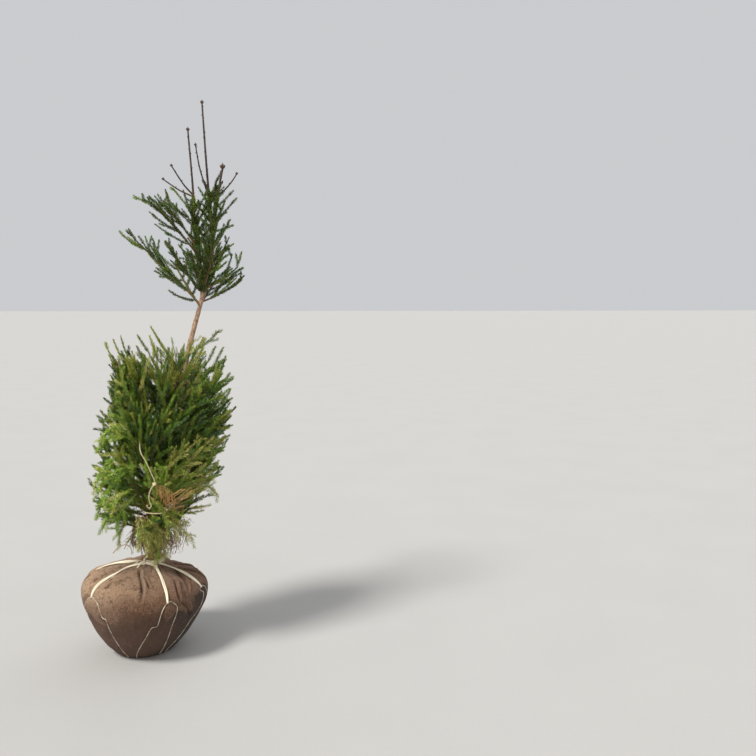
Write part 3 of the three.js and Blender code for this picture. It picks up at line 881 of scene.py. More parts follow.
def swept(place, heading, length, curl, stations):
    """Lines that start at a place, head one way and curl upwards."""
    t = np.linspace(0, 1, stations)[None, :, None]
    return place[:, None] + length[:, None, None] * (heading[:, None] * t + (curl[:, None, None] * t**2) * UP)


def shortened(lines, part):
    """The lines again, each drawn in towards its foot to a part of its size."""
    return lines[:, :1] + (lines - lines[:, :1]) * part[:, None, None]


def boxed(lines):
    """The lines again, each shortened where its tip would leave the solids' box."""
    start, run = lines[:, 0], lines[:, -1] - lines[:, 0]
    room = np.where(run > 0, np.array(cad_box[1]) - start, np.array(cad_box[0]) - start) / (run + 1e-9)
    return shortened(lines, np.clip(room.min(axis=1), 0.2, 1))


print("shoots of parents with 2, 0 and 3:", [part.tolist() for part in dealt(np.array([2, 0, 3]))])

# %% Growth rule
from collections import namedtuple

GOLDEN = math.radians(137.508)
# Spread round a habit's lean in degrees, round the curl, and of the length.
LEAN_SPREAD, CURL_SPREAD, LENGTH_SPREAD = 7, 0.06, (0.72, 1.2)
# How shoots leave their parent: the share of it below the first one and the metres between them,
# their length as a share of what is left of it and the least length, their lean in degrees and their
# spread round it, and how far the packing combs them and the crown's outline presses them flat.
Habit = namedtuple("Habit", "first spacing reach least lean roll combed pressed", defaults=(0, 0))


def side_shoots(parents, habit, curl=0.1, stations=5):
    """Shoots off both sides of the parents, by a habit of growth: lines, and which parent each one has."""
    run = lengths(parents)
    owner, order = dealt(np.maximum(((1 - habit.first) * run / habit.spacing).astype(int), 1))
    count = np.bincount(owner, minlength=len(parents))[owner]
    share = habit.first + (1 - habit.first) * (order + dice.random(len(owner))) / count
    place, forward = along(parents, owner, share)
    angle, _ = crown_angle(place)
    level = unit(np.cross(forward, UP + habit.pressed * compass(angle)) + 1e-4)
    over = np.cross(level, forward)
    spin = dice.normal(0, habit.roll, len(owner))[:, None]
    way = np.where(order % 2 == 0, 1.0, -1.0)[:, None]
    out = way * np.cos(spin) * level + np.sin(spin) * over
    tilt = np.radians(dice.normal(habit.lean, LEAN_SPREAD, len(owner)))[:, None]
    heading = unit(np.cos(tilt) * forward + np.sin(tilt) * out + habit.combed * combed(place))
    uneven = dice.uniform(*LENGTH_SPREAD, len(owner))
    length = (habit.reach * run[owner] * (1 - share) + habit.least) * uneven
    bend = (curl[owner] if np.ndim(curl) else curl) + dice.normal(0, CURL_SPREAD, len(owner))
    return boxed(swept(place, heading, length, bend, stations)), owner


def whorl_shoots(line, heights, count, length, lean):
    """Short shoots all round a limb at random heights, leaning up along it."""
    place = at_height(line, dice.uniform(*heights, count))
    out = compass(np.arange(count) * GOLDEN + dice.normal(0, 0.2, count))
    tilt = np.radians(dice.normal(lean, 8, count))[:, None]
    heading = unit(np.cos(tilt) * UP + np.sin(tilt) * out)
    return boxed(swept(place, heading, dice.uniform(*length, count), dice.normal(0.16, 0.05, count), 7))


print("a habit of growth has", Habit._fields)

# %% [markdown]
# The lower crown is tied in, so its shoots press against an outline that is wide at the belly and
# narrow at foot and top. The outline is the solids' own. Each shoot gets its own slack, so that the
# tips end unevenly and the surface looks combed and not clipped. Packing has swept the shoots up to the
# right, and the soft low ones out to the left. The route of the twine is set here too, as degrees and
# millimetres up, because shoots have grown over its upper part.

# %% Outline of the tied crown
CROWN_OUTLINE = np.array([
    (400, 66), (440, 84), (520, 140), (600, 205), (700, 258), (800, 280),
    (900, 290), (1030, 298), (1170, 286), (1330, 252), (1430, 205), (1540, 110),
]) / 1000
CROWN_FOOT_X, CROWN_LEAN, CROWN_FOOT = 0.020, 0.155, 0.440
TWINE_ROUTE = [
    (-99.9, 747), (-99.4, 737), (-97.2, 732), (-95.9, 742), (-97.6, 758), (-98.9, 780),
    (-98.9, 800), (-97.8, 822), (-95.6, 848), (-99.6, 891), (-104.8, 940), (-109.8, 979),
    (-114.9, 1018), (-122, 1080), (-152, 1190), (-190, 1285), (-225, 1345),
]
# From this place on the twine only climbs.
UPPER_PART = 8


def crown_radius(height):
    """The outline's radius at each height."""
    return np.interp(height, CROWN_OUTLINE[:, 0], CROWN_OUTLINE[:, 1])


def crown_place(angle, radius, height):
    """A place at an angle in radians and a radius about the crown's leaning middle."""
    return around(CROWN_FOOT_X + CROWN_LEAN * (height - CROWN_FOOT), angle, radius, height)


def off_middle(places):
    """How far to the right of the crown's leaning middle each place is."""
    return places[..., 0] - CROWN_FOOT_X - CROWN_LEAN * (places[..., 2] - CROWN_FOOT)


def crown_angle(places):
    """The angle round the crown's middle, and the distance from it as a share of the outline's."""
    right, back = off_middle(places), places[..., 1]
    return np.arctan2(back, right), np.hypot(right, back) / crown_radius(places[..., 2])


print("the tied crown is", round(2 * float(CROWN_OUTLINE[:, 1].max()), 3), "across at its belly")

# %% Packing and tying
HEM_HEIGHT, HEM_SLANT, HEM_FRINGE = 0.605, 0.040, 0.026
CROWN_TOP = 1.485


def combed(places):
    """Which way the packing has swept the shoots at each place."""
    height = places[:, 2]
    right = eased(off_middle(places), -0.14, 0.05)
    high = eased(height, 0.60, 0.86)
    low_left = 0.75 * (1 - high) + 0.10 * (1 - eased(height, 0.9, 1.1))
    sideways = right * (0.25 + 0.60 * high) - (1 - right) * low_left
    upwards = 0.35 * high + 0.5 * eased(height, 1.05, 1.3) - 0.35 * (1 - right) * (1 - high)
    return np.stack([sideways, np.zeros(len(places)), upwards], -1)


def pressed(lines, slack, least=0.35):
    """The lines again, each shortened where its tip would pass the outline times its slack."""
    _, share = crown_angle(lines[:, [0, -1]])
    room = (slack - share[:, 0]) / np.maximum(share[:, 1] - share[:, 0], 1e-6)
    return shortened(lines, np.where(share[:, 1] > slack, np.clip(room, least, 1), 1))


def within_crown(lines):
    """Which lines end between the crown's top and its ragged green hem, which is higher on the right."""
    angle, _ = crown_angle(lines[:, -1])
    hem = HEM_HEIGHT + HEM_SLANT * np.cos(angle) + dice.normal(0, HEM_FRINGE, len(lines))
    return (lines[:, -1, 2] > hem) & (lines[:, -1, 2] < CROWN_TOP)


test_places = np.array([[-0.2, 0, 0.6], [0.2, 0, 0.9]])
print("low left and high right are combed by", combed(test_places).round(2).tolist())

# %% Rule of a lower bough
LOWER_BOUGHS, COVER_SHOOTS = 92, 76
FIRST_BOUGH, LAST_BOUGH = 0.530, 1.255
# By the height of a bough's foot: how far it rises, and the least share of the outline it reaches.
BOUGH_RISE = [0.45, 0.60, 0.80, 1.25], [0.06, 0.16, 0.24, 0.07]
BOUGH_REACH = [1.0, 1.25], [0.66, 0.30]
# The heights at which shoots hide the twine.
COVERED = 0.985, 1.33


def lower_bough(number):
    """One bough: out from the trunk, then up along the outline."""
    part = (number + 0.5) / LOWER_BOUGHS
    foot = FIRST_BOUGH + (LAST_BOUGH - FIRST_BOUGH) * part**1.32
    angle = number * GOLDEN + dice.normal(0, 0.15)
    rise = np.interp(foot, *BOUGH_RISE) * dice.uniform(0.8, 1.15)
    reach = dice.uniform(np.interp(foot, *BOUGH_REACH), 0.88)
    swing = dice.normal(0, 0.12)
    places = [at_height(trunk_line, foot)]
    for climb, wide in ((0.22, 0.36), (0.55, 0.76), (1.0, 1.0)):
        height = foot + rise * climb
        places.append(crown_place(angle + swing * climb, wide * reach * crown_radius(height), height))
    return smooth_line(places, 14)


def cover_shoots():
    """Shoots that have grown over the twine: they start well inside the outline and end near it."""
    height = dice.uniform(*COVERED, COVER_SHOOTS)
    degrees, levels = np.array(TWINE_ROUTE[UPPER_PART:]).T
    angle = np.radians(np.interp(height * 1000, levels, degrees) + dice.normal(0, 5, COVER_SHOOTS))
    foot = crown_place(angle - 0.10, crown_radius(height) - 0.12, height - 0.09)
    tip = crown_place(angle + 0.06, crown_radius(height) + dice.normal(0, 0.012, COVER_SHOOTS), height + 0.04)
    length = dice.uniform(0.8, 1.15, COVER_SHOOTS)
    return swept(foot, tip - foot, length, dice.normal(0.03, 0.03, COVER_SHOOTS), 7)


print("lower boughs leave the trunk from", FIRST_BOUGH, "to", LAST_BOUGH)

# %% Lower boughs
INNER_SHOOTS, INNER_LENGTH = 110, (0.10, 0.23)
INNER = 0.60, 1.30
# By the height of a bough's tip: how much the sprays on it curl up.
SPRAY_CURL = [0.55, 0.75, 1.0], [-0.10, 0.08, 0.18]
SPRAY_HABIT = Habit(0.10, 0.038, 0.30, 0.110, 33, 0.7, combed=0.55, pressed=1.0)
SHOOT_HABIT = Habit(0.12, 0.080, 0.32, 0.086, 29, 0.7, combed=0.35, pressed=1.5)
boughs = np.stack([lower_bough(number) for number in range(LOWER_BOUGHS)])
sprays, _ = side_shoots(boughs, SPRAY_HABIT, np.interp(boughs[:, -1, 2], *SPRAY_CURL), 7)
sprays = pressed(sprays, dice.uniform(0.88, 1.08, len(sprays)), 0.5)
sprays = sprays[within_crown(sprays)]
inner = whorl_shoots(trunk_line, INNER, INNER_SHOOTS, INNER_LENGTH, 50)
sprays = np.concatenate([sprays, inner, cover_shoots()])
shoots, shoot_owner = side_shoots(sprays, SHOOT_HABIT)
shoots = pressed(shoots, dice.uniform(0.90, 1.10, len(shoots)))
kept = within_crown(shoots)
shoots, shoot_owner = shoots[kept], shoot_owner[kept]
metres = sum(float(lengths(lines).sum()) for lines in (boughs, sprays, shoots))
print(f"lower crown: {len(boughs)} boughs, {len(sprays)} sprays, {len(shoots)} shoots, {metres:.0f} m")

# %% [markdown]
# Above the twine's reach the crown is open, with sky between single boughs. The rule for the lower
# boughs could go on up, but these few are seen one by one. So each is bowed from its foot to its tip as
# its solid is, and the rule adds only the shoots on it and the short ones round the young wood.

# %% Upper boughs
# Foot, tip and bow of each, in millimetres.
UPPER_BOUGHS = {
    "left_long": [(288, 0, 1616), (-36, -22, 1944), 6],
    "left_high": [(283, 9, 1842), (48, -46, 2095), 16],
    "left_upper": [(279, 9, 1878), (119, 42, 2101), 12],
    "right_high": [(303, 0, 1684), (477, -34, 1805), -8],
    "right_low": [(290, 0, 1628), (488, 30, 1740), -12],
    "front_high": [(305, 0, 1696), (345, -208, 1912), -14],
    "back_high": [(304, 0, 1690), (262, 216, 1896), -14],
    "front_low": [(287, 0, 1606), (152, -196, 1822), -10],
    "back_low": [(289, 0, 1622), (404, 196, 1790), -10],
}


def bowed(root, tip, lift, stations):
    """A line from root to tip, in millimetres, lifted in its middle."""
    share = np.linspace(0, 1, stations)[:, None]
    straight = np.array(root) + (np.array(tip) - np.array(root)) * share
    return (straight + 4 * lift * share * (1 - share) * UP) / 1000


# The wood ends two stations before the tip, where only needles go on.
upper = np.stack([bowed(*bough, 16) for bough in UPPER_BOUGHS.values()])[:, :-2]
upper_sprays, _ = side_shoots(upper, Habit(0.16, 0.027, 0.30, 0.088, 37, 0.4), 0.16, 7)
upper_shoots, upper_shoot_owner = side_shoots(upper_sprays, Habit(0.25, 0.085, 0.26, 0.040, 36, 0.5))
leader_main, leader_second, leader_left = leader_lines.values()
# Limb, heights, number, lengths and lean of the short shoots on the young wood.
YOUNG_SHOOTS = [
    (trunk_line, (1.655, 1.70), 18, (0.11, 0.28), 36),
    (trunk_line, (1.72, 1.98), 26, (0.07, 0.16), 40),
    (trunk_line, (1.975, 2.0), 5, (0.07, 0.15), 42),
    (leader_left, (1.72, 1.90), 10, (0.06, 0.13), 40),
    (leader_left, (1.92, 2.08), 14, (0.06, 0.14), 42),
    (leader_main, (2.02, 2.10), 7, (0.05, 0.12), 36),
    (leader_second, (2.02, 2.10), 4, (0.05, 0.10), 36),
]
young_shoots = np.concatenate([whorl_shoots(*row) for row in YOUNG_SHOOTS])
young_sides, young_owner = side_shoots(young_shoots, Habit(0.35, 0.060, 0.26, 0.040, 36, 0.5))
print(f"upper crown: {len(upper_sprays)} sprays, {len(upper_shoots) + len(young_shoots)} shoots")

# %% [markdown]
# Round the foot the crown is thin: old twigs have lost their needles and turned brown, a few still
# carry dry orange ones, and long soft shoots hang down over the knot and the shoulder of the ball. To
# the right of the knot a bent twig carries a curtain of dead needles, with dry stalks beside it. What
# makes the outline there, and the tuft in front of the knot, is placed one by one, and the rest by the rule.

# %% Placed shoots, by their shade
PLACED_SHOOTS = {
    "leaf": [
        [(190, 57, 1350), (270, 49, 1400), (330, 38, 1446), (368, 28, 1484)],
        [(-22, -190, 780), (-62, -195, 740), (-94, -168, 690), (-112, -114, 600)],
        [(-46, -171, 1080), (-88, -157, 1120), (-128, -102, 1128)],
        [(-20, -209, 1000), (-40, -233, 1050), (-58, -223, 1120), (-62, -201, 1190)],
        [(0, -214, 1060), (-50, -223, 1110), (-84, -195, 1170), (-96, -166, 1230)],
        [(0, -214, 1140), (-34, -220, 1190), (-60, -200, 1250), (-66, -171, 1310)],
        [(120, -209, 830), (140, -255, 876), (208, -247, 923), (276, -214, 957), (336, -162, 976)],
        [(120, -209, 770), (134, -249, 806), (198, -239, 850), (271, -200, 873), (332, -133, 876)],
    ],
    "bright": [
        [(-20, -190, 880), (-60, -203, 892), (-109, -177, 840), (-164, -106, 753), (-194, -55, 656)],
        [(-20, -190, 800), (-50, -205, 806), (-99, -180, 760), (-144, -125, 694), (-170, -74, 606)],
        [(-30, -180, 950), (-70, -201, 960), (-128, -152, 925), (-176, -87, 863), (-204, -46, 786)],
        [(0, -201, 900), (-36, -218, 910), (-87, -194, 896), (-148, -125, 843), (-188, -65, 766)],
        [(0, -201, 1000), (-26, -222, 1030), (-82, -186, 1045), (-134, -128, 1021), (-178, -65, 965)],
        [(-10, -186, 1050), (-34, -209, 1078), (-85, -173, 1085), (-142, -104, 1049), (-174, -55, 1001)],
        [(60, -209, 760), (66, -249, 800), (61, -262, 850), (58, -267, 905)],
        [(80, -209, 760), (86, -249, 800), (95, -263, 845), (108, -267, 892)],
        [(50, -209, 770), (48, -249, 810), (33, -261, 857), (26, -263, 902)],
        [(70, -214, 775), (78, -251, 815), (80, -266, 866), (84, -270, 910)],
    ],
    "olive": [
        [(30, -218, 776), (76, -251, 738), (105, -245, 703), (134, -224, 654), (170, -195, 606),
         (219, -155, 543)],
        [(40, -218, 762), (88, -243, 709), (117, -220, 654), (152, -185, 595), (190, -160, 556)],
        [(110, -209, 810), (124, -255, 850), (186, -255, 913), (253, -231, 971), (314, -190, 1012)],
        [(130, -200, 730), (153, -233, 756), (206, -226, 802), (262, -193, 822), (310, -138, 824)],
        [(100, -214, 860), (108, -258, 898), (156, -266, 948), (209, -254, 987), (260, -233, 1022)],
        [(190, -180, 730), (216, -205, 766), (267, -175, 784), (316, -104, 760), (346, -80, 715)],
        [(4, -200, 684), (22, -180, 622), (40, -142, 552), (60, -104, 490)],
        [(150, -57, 1290), (196, -99, 1360), (232, -114, 1420), (248, -120, 1448)],
        [(130, -142, 1130), (190, -180, 1190), (230, -180, 1250), (262, -171, 1300)],
    ],
    "straw": [
        [(-16, -200, 690), (2, -185, 636), (18, -152, 566), (42, -119, 512), (60, -95, 470)],
        [(-26, -195, 676), (-14, -171, 612), (0, -142, 552), (22, -114, 506)],
        [(20, -195, 679), (36, -178, 618), (52, -145, 547), (71, -118, 485), (81, -98, 440)],
        [(38, -195, 695), (58, -180, 630), (76, -150, 564), (91, -125, 504), (99, -105, 454)],
        [(-1, -190, 665), (14, -170, 599), (30, -140, 533), (47, -112, 476), (59, -95, 432)],
    ],
}
placed = routed([route for routes in PLACED_SHOOTS.values() for route in routes])
print("placed shoots, metres:", round(float(lengths(placed).sum()), 2))

# %% Dead and bare twigs of the foot
DEAD_TWIGS, BARE_ALL_ROUND, BARE_FRONT = 120, 70, 70
DROOP, DROOP_BELOW = 0.10, 0.62
HANG_FROM, HANG_TO = (0.52, 0.62), (0.455, 0.51)
DEAD_HABIT = Habit(0.25, 0.040, 0.35, 0.024, 46, 1.2)
BARE_TWIGS = [
    [(-14, -130, 638), (-42, -125, 582), (-68, -115, 538), (-82, -110, 512)],
    [(-131, -100, 494), (-110, -105, 518), (-78, -105, 530), (-54, -100, 512), (-50, -95, 478)],
    [(34, -140, 657), (60, -140, 610), (102, -135, 577), (146, -130, 556), (166, -120, 510)],
    [(20, -120, 620), (64, -120, 566), (96, -112, 520), (112, -100, 470)],
    [(48, -120, 640), (80, -130, 560), (120, -120, 510), (150, -110, 500)],
]


def crooked(lines, amount):
    """The lines again, wandering off more and more from the foot on."""
    wander = np.cumsum(dice.normal(0, 1, lines.shape), axis=1)
    return lines + amount * wander * np.linspace(0, 1, lines.shape[1])[:, None]


def hanging_shoot(angle, reach):
    """A shoot that leaves the foot of the crown and hangs over the ball."""
    top = dice.uniform(*HANG_FROM)
    low = dice.uniform(*HANG_TO)
    heights = [top, top + 0.012, 0.45 * top + 0.55 * low, low]
    places = [
        crown_place(angle, wide * reach * crown_radius(top), height)
        for wide, height in zip((0.35, 0.70, 0.90, 0.84), heights)
    ]
    return smooth_line(places, 9)


dead = crooked(whorl_shoots(trunk_line, (0.455, 0.80), DEAD_TWIGS, (0.06, 0.17), 74), 0.006)
droop = dice.uniform(0, 1, (len(dead), 1)) * (dead[:, :1, 2] < DROOP_BELOW)
dead[..., 2] -= DROOP * np.linspace(0, 1, 7) ** 2 * droop
dead_sides, _ = side_shoots(dead, DEAD_HABIT, 0.0)
dead_sides = pressed(dead_sides, 0.9)
dead = pressed(dead, 0.92)
bare = crooked(np.stack([
    *(hanging_shoot(number * GOLDEN + 1, dice.uniform(0.2, 0.60)) for number in range(BARE_ALL_ROUND)),
    *(hanging_shoot(dice.uniform(-1.9, 0.2), dice.uniform(0.35, 0.95)) for _ in range(BARE_FRONT)),
]), 0.004)
bare_sides, _ = side_shoots(bare, DEAD_HABIT, -0.2)
loops = routed(BARE_TWIGS, 12)
print("foot:", len(dead), "dead twigs and", len(bare) + len(loops), "bare ones")

# %% Soft shoots, the bent twig and the dry stalks
HANGING, DROPS = 3, 33
DRY_ARCHES = [
    [(61, -276, 837), (82, -286, 831), (107, -286, 820), (127, -280, 799), (144, -272, 778)],
    [(64, -270, 826), (86, -280, 818), (104, -280, 806), (120, -274, 788), (130, -268, 764)],
    [(66, -262, 812), (84, -270, 800), (98, -270, 786), (108, -264, 762)],
]
DRY_STALKS = [
    [(106, -256, 735), (152, -272, 762), (205, -272, 798)],
    [(112, -252, 720), (165, -268, 755), (213, -266, 787)],
    [(122, -248, 709), (161, -264, 737), (209, -260, 759)],
    [(97, -262, 760), (131, -278, 787), (170, -278, 809)],
    [(118, -258, 744), (161, -272, 775), (196, -272, 803)],
    [(127, -246, 708), (152, -260, 723), (178, -266, 731)],
    [(104, -256, 748), (140, -274, 780), (184, -274, 806)],
    [(116, -250, 726), (170, -266, 766), (216, -262, 796)],
]
hanging = np.stack([hanging_shoot(1.6 + 0.9 * number, dice.uniform(0.6, 0.8)) for number in range(HANGING)])
arches, stalks = routed(DRY_ARCHES), routed(DRY_STALKS)
drop_shares = (np.arange(DROPS) + dice.random(DROPS)) / DROPS
drop_places, _ = along(arches, np.arange(DROPS) % len(arches), drop_shares)
drop_headings = unit([0.10, -0.08, -1.0] + dice.normal(0, 0.14, (DROPS, 3)))
drops = swept(drop_places, drop_headings, dice.uniform(0.030, 0.062, DROPS), np.zeros(DROPS), 5)
stalk_sides, _ = side_shoots(stalks, Habit(0.15, 0.034, 0.32, 0.022, 13, 0.9, pressed=3.0), -0.10)
fan, fan_sides = np.concatenate([arches, stalks]), np.concatenate([drops, stalk_sides])
soft = np.concatenate([hanging, placed])
soft_sides, soft_owner = side_shoots(soft, Habit(0.12, 0.032, 0.24, 0.042, 25, 0.5, pressed=3.0), -0.10)
print("foot:", len(soft), "soft shoots,", len(arches), "parts of the bent twig,", len(stalks), "dry stalks")

# %% [markdown]
# Needles are flat lances of three faces: a narrow foot, the widest place near the end, and a point.
# A cylinder for each would cost ten times the faces, and a card with a picture would not keep its
# outline. They wind up their shoot by the golden angle and lean forward, more so near its tip.

# %% Needle maker
NEEDLE_LENGTH, NEEDLE_WIDTH = 0.0158, 0.0023
FOOT_WIDTH, WIDEST_AT = 0.6, 0.66
LEAN, LESS_AT_TIP, LIFTED = 49, 23, 0.22
SHORTER_AT_TIP, UNEVEN_LENGTH = 0.30, (0.8, 1.12)
# How likely a needle is to have the younger shade, and how much likelier at the tip.
YOUNG, YOUNG_AT_TIP = 0.06, 0.36
LANCE = np.array([[0, 1, 3], [0, 3, 2], [2, 3, 4]])


def needles_on(lines, bare, density, length, shades, girth=0.0):
    """Needles along the lines: five points each, and the shade of each needle, younger near the tips."""
    counts = (lengths(lines) * (1 - bare) * density).astype(int)
    owner, order = dealt(counts)
    share = bare + (1 - bare) * (order + 0.5) / counts[owner]
    place, forward = along(lines, owner, share)
    side = unit(np.cross(forward, np.array([0.31, 0.92, 0.11])))
    front = np.cross(forward, side)
    turn = (order * GOLDEN + dice.normal(0, 0.25, len(order)) + owner)[:, None]
    out = side * np.cos(turn) + front * np.sin(turn)
    tilt = np.radians(LEAN - LESS_AT_TIP * share**4 + dice.normal(0, 6, len(order)))[:, None]
    heading = unit(np.cos(tilt) * forward + np.sin(tilt) * (out + LIFTED * UP))
    long = (length * (1 - SHORTER_AT_TIP * share**6) * dice.uniform(*UNEVEN_LENGTH, len(order)))[:, None]
    blade = unit(np.cross(heading, unit(dice.normal(0, 1, heading.shape)))) * NEEDLE_WIDTH / 2
    place = place + girth * out
    foot = FOOT_WIDTH * blade
    wide = place + WIDEST_AT * long * heading
    tip = place + long * unit(heading + 0.10 * forward)
    points = np.stack([place - foot, place + foot, wide - blade, wide + blade, tip], axis=1)
    young = dice.random(len(owner)) < YOUNG + YOUNG_AT_TIP * share**2
    return points, np.where(young, YOUNGER[shades[owner]], shades[owner])


print("a needle is", NEEDLE_LENGTH, "long,", NEEDLE_WIDTH, "wide and has", len(LANCE), "triangles")

# %% Shades of green, dealt out by spray
SHADES = {
    "needle_deep": tint(58, 80, 34),
    "needle_blue": tint(80, 112, 62),
    "needle_leaf": tint(102, 138, 44),
    "needle_bright": tint(132, 170, 46),
    "needle_olive": tint(144, 154, 54),
    "needle_straw": tint(192, 190, 106),
    "needle_dry": tint(196, 142, 80),
}
DEEP, BLUE, LEAF, BRIGHT, OLIVE, STRAW, DRY = range(len(SHADES))
# What each shade turns into near the tip of a shoot.
YOUNGER = np.array([LEAF, LEAF, OLIVE, STRAW, STRAW, STRAW, DRY])


def shade_of(lines):
    """A shade for each spray, by where in the crown its tip is."""
    angle, share = crown_angle(lines[:, -1])
    height = lines[:, -1, 2]
    # The greens are the needles' own, but where they fall is partly painted light: bright green goes mostly
    # to the low left, the side the sun lights, as painted sunlight, and deep green to the inside of the
    # crown, as painted shade.
    left = 0.5 - 0.5 * np.cos(angle)
    low = 1 - eased(height, 0.72, 1.08)
    high = eased(height, 1.08, 1.42)
    outer = eased(share, 0.55, 0.95)
    # How likely each shade is, in the order of SHADES.
    weights = np.stack([
        0.9 - 0.5 * outer + 0.2 * (1 - low),
        0.5 + 0.25 * (1 - low) * (1 - high) - 0.4 * low,
        1.2 + 0.2 * low,
        3.2 * low * left + 0.6 * low + 0.1,
        0.15 + 1.5 * high * (0.25 + 0.75 * left) + 0.5 * low * (1 - left),
        0.05 + 0.20 * high * outer * left + 0.35 * low * (1 - left) * outer,
        0.22 * low * (1 - outer),
    ], axis=-1)
    limit = np.cumsum(weights, axis=1) / weights.sum(axis=1, keepdims=True)
    return (dice.random(len(lines))[:, None] > limit).sum(axis=1)


def plain_finish(name, colour, roughness):
    """One plain colour for small parts. Their variety comes from dealing several finishes out."""
    finish, _ = new_finish(name, Base_Color=colour, Roughness=roughness, Specular_IOR_Level=0.35)
    return finish


needle_finishes = [plain_finish(name, colour, 0.55) for name, colour in SHADES.items()]
print("shades of needles:", len(needle_finishes))

# %% Clearing and adding needles
MOST_TRIANGLES = 190_000
NEEDLE_ROOM, BEYOND_BALL = 0.012, 0.285
# By the distance from the middle: the height of the ball's top, and how much of its tilt counts.
BALL_TOP = [0.05, 0.16, 0.258, 0.277], [0.412, 0.386, 0.330, 0.25]
TILT_PART = [0.05, 0.2], [0, 0.8]


def cleared(group):
    """All needles of a group as one array, less those inside the ball or outside the solids' box."""
    points = np.concatenate([needles for needles, _ in group])
    shades = np.concatenate([shade for _, shade in group])
    low, high = np.array(cad_box[0]) - NEEDLE_ROOM, np.array(cad_box[1]) + NEEDLE_ROOM
    tips = points[:, 4]
    inside = np.all((tips > low) & (tips < high), axis=1)
    radius = np.hypot(tips[:, 0], tips[:, 1])
    tilt = SHOULDER_TILT * tips[:, 0] / np.maximum(radius, 0.05)
    top = np.interp(radius, *BALL_TOP) - tilt * np.interp(radius, *TILT_PART)
    inside &= (tips[:, 2] > top) | (radius > BEYOND_BALL)
    return points[inside], shades[inside]


def add_needles(name, points, shades, slot, nodes):
    """Needles as pieces of under 200,000 triangles each."""
    count = math.ceil(3 * len(points) / MOST_TRIANGLES)
    for number, part in enumerate(np.array_split(np.arange(len(points)), count)):
        triangles = LANCE + 5 * np.arange(len(part))[:, None, None]
        shape = points[part].reshape(-1, 3), triangles.reshape(-1, 3)
        used, own = np.unique(shades[part], return_inverse=True)
        finishes = [needle_finishes[shade] for shade in used]
        title = f"{name}_{number + 1}" if count > 1 else name
        add_piece(title, shape, finishes, nodes if number == 0 else (), np.repeat(own, 3), smooth=False)


print("needles may pass the solids' box by", NEEDLE_ROOM)

# %% Needles of the lower crown
NEEDLES_PER_METRE = 1280
# The part of the shoots that have their spray's own shade.
SAME_SHADE = 0.75


def crowding(lines):
    """Needles for each metre: fewer on the fine low shoots, and fewer deep inside."""
    _, share = crown_angle(lines[:, -1])
    low = 0.66 + 0.34 * eased(lines[:, -1, 2], 0.62, 0.86)
    return NEEDLES_PER_METRE * low * (0.4 + 0.6 * eased(share, 0.45, 0.8))


spray_shades = shade_of(sprays)
bough_shades = shade_of(boughs)
same = dice.random(len(shoots)) < SAME_SHADE
shoot_shades = np.where(same, spray_shades[shoot_owner], shade_of(shoots))
lower_points, lower_shades = cleared([
    needles_on(boughs, 0.35, crowding(boughs), NEEDLE_LENGTH, bough_shades),
    needles_on(sprays, 0.08, crowding(sprays), NEEDLE_LENGTH, spray_shades),
    needles_on(shoots, 0.03, crowding(shoots), NEEDLE_LENGTH, shoot_shades),
])
height = lower_points[:, 0, 2]
for name, low, high, slot in (
    ("skirt", 0.0, 0.74, "bright_needles"),
    ("belly", 0.74, 1.10, "needles"),
    ("shoulder", 1.10, 3.0, "needles"),
):
    part = (height >= low) & (height < high)
    add_needles(f"needles_{name}", lower_points[part], lower_shades[part], slot, nodes_named(name))

# %% Needles of the top and the soft shoots
TOP_DENSITY, TOP_LENGTH = 1300, 0.0132
SOFT_LENGTH = NEEDLE_LENGTH * 1.1
# Mostly deep green: painted shade, since the top stands against the bright sky.
TOP_SHADES_PAINTED_DARK = np.array([DEEP, DEEP, DEEP, BLUE, LEAF])
# Needles for each metre of a soft shoot, in the order of SHADES.
SOFT_DENSITY = np.array([800, 800, 800, 820, 560, 620, 300])


def top_shade(lines):
    """A shade for each line of the top, most of them deep green as painted shade of the backlit top."""
    return TOP_SHADES_PAINTED_DARK[dice.integers(0, 5, len(lines))]


upper_spray_shades = top_shade(upper_sprays)
young_shades = top_shade(young_shoots)
placed_shades = [
    list(SHADES).index(f"needle_{kind}") for kind, routes in PLACED_SHOOTS.items() for _ in routes
]
soft_shades = np.concatenate([dice.choice([OLIVE, BRIGHT, LEAF], HANGING), placed_shades])
soft_density = SOFT_DENSITY[soft_shades]
other = dice.choice([LEAF, BRIGHT, OLIVE, OLIVE, STRAW], len(soft_sides))
soft_side_shades = np.where(dice.random(len(soft_sides)) < 0.55, soft_shades[soft_owner], other)
top_group = [
    needles_on(lines, bare_part, TOP_DENSITY, TOP_LENGTH, shades)
    for lines, bare_part, shades in (
        (upper, 0.22, top_shade(upper)),
        (upper_sprays, 0.05, upper_spray_shades),
        (upper_shoots, 0.02, upper_spray_shades[upper_shoot_owner]),
        (young_shoots, 0.05, young_shades),
        (young_sides, 0.02, young_shades[young_owner]),
    )
]
add_needles("needles_top", *cleared(top_group), "needles", nodes_named("spray_"))
add_needles("needles_hanging", *cleared([
    needles_on(soft, 0.06, soft_density, SOFT_LENGTH, soft_shades),
    needles_on(soft_sides, 0.05, soft_density[soft_owner], SOFT_LENGTH, soft_side_shades),
]), "bright_needles", ())

# %% Dry needles and the sleeves of young wood
def dry_needles(lines, bare_part, density, length):
    """A few dead needles that still hang on to each line."""
    return needles_on(lines, bare_part, density, NEEDLE_LENGTH * length, np.full(len(lines), DRY))


def sleeve(line, low, high, density, length, girth):
    """Needles straight on a young limb between two heights."""
    part = at_height(line, np.linspace(low, high, 30))[None]
    return needles_on(part, 0.0, density, length, np.array([LEAF]), girth)


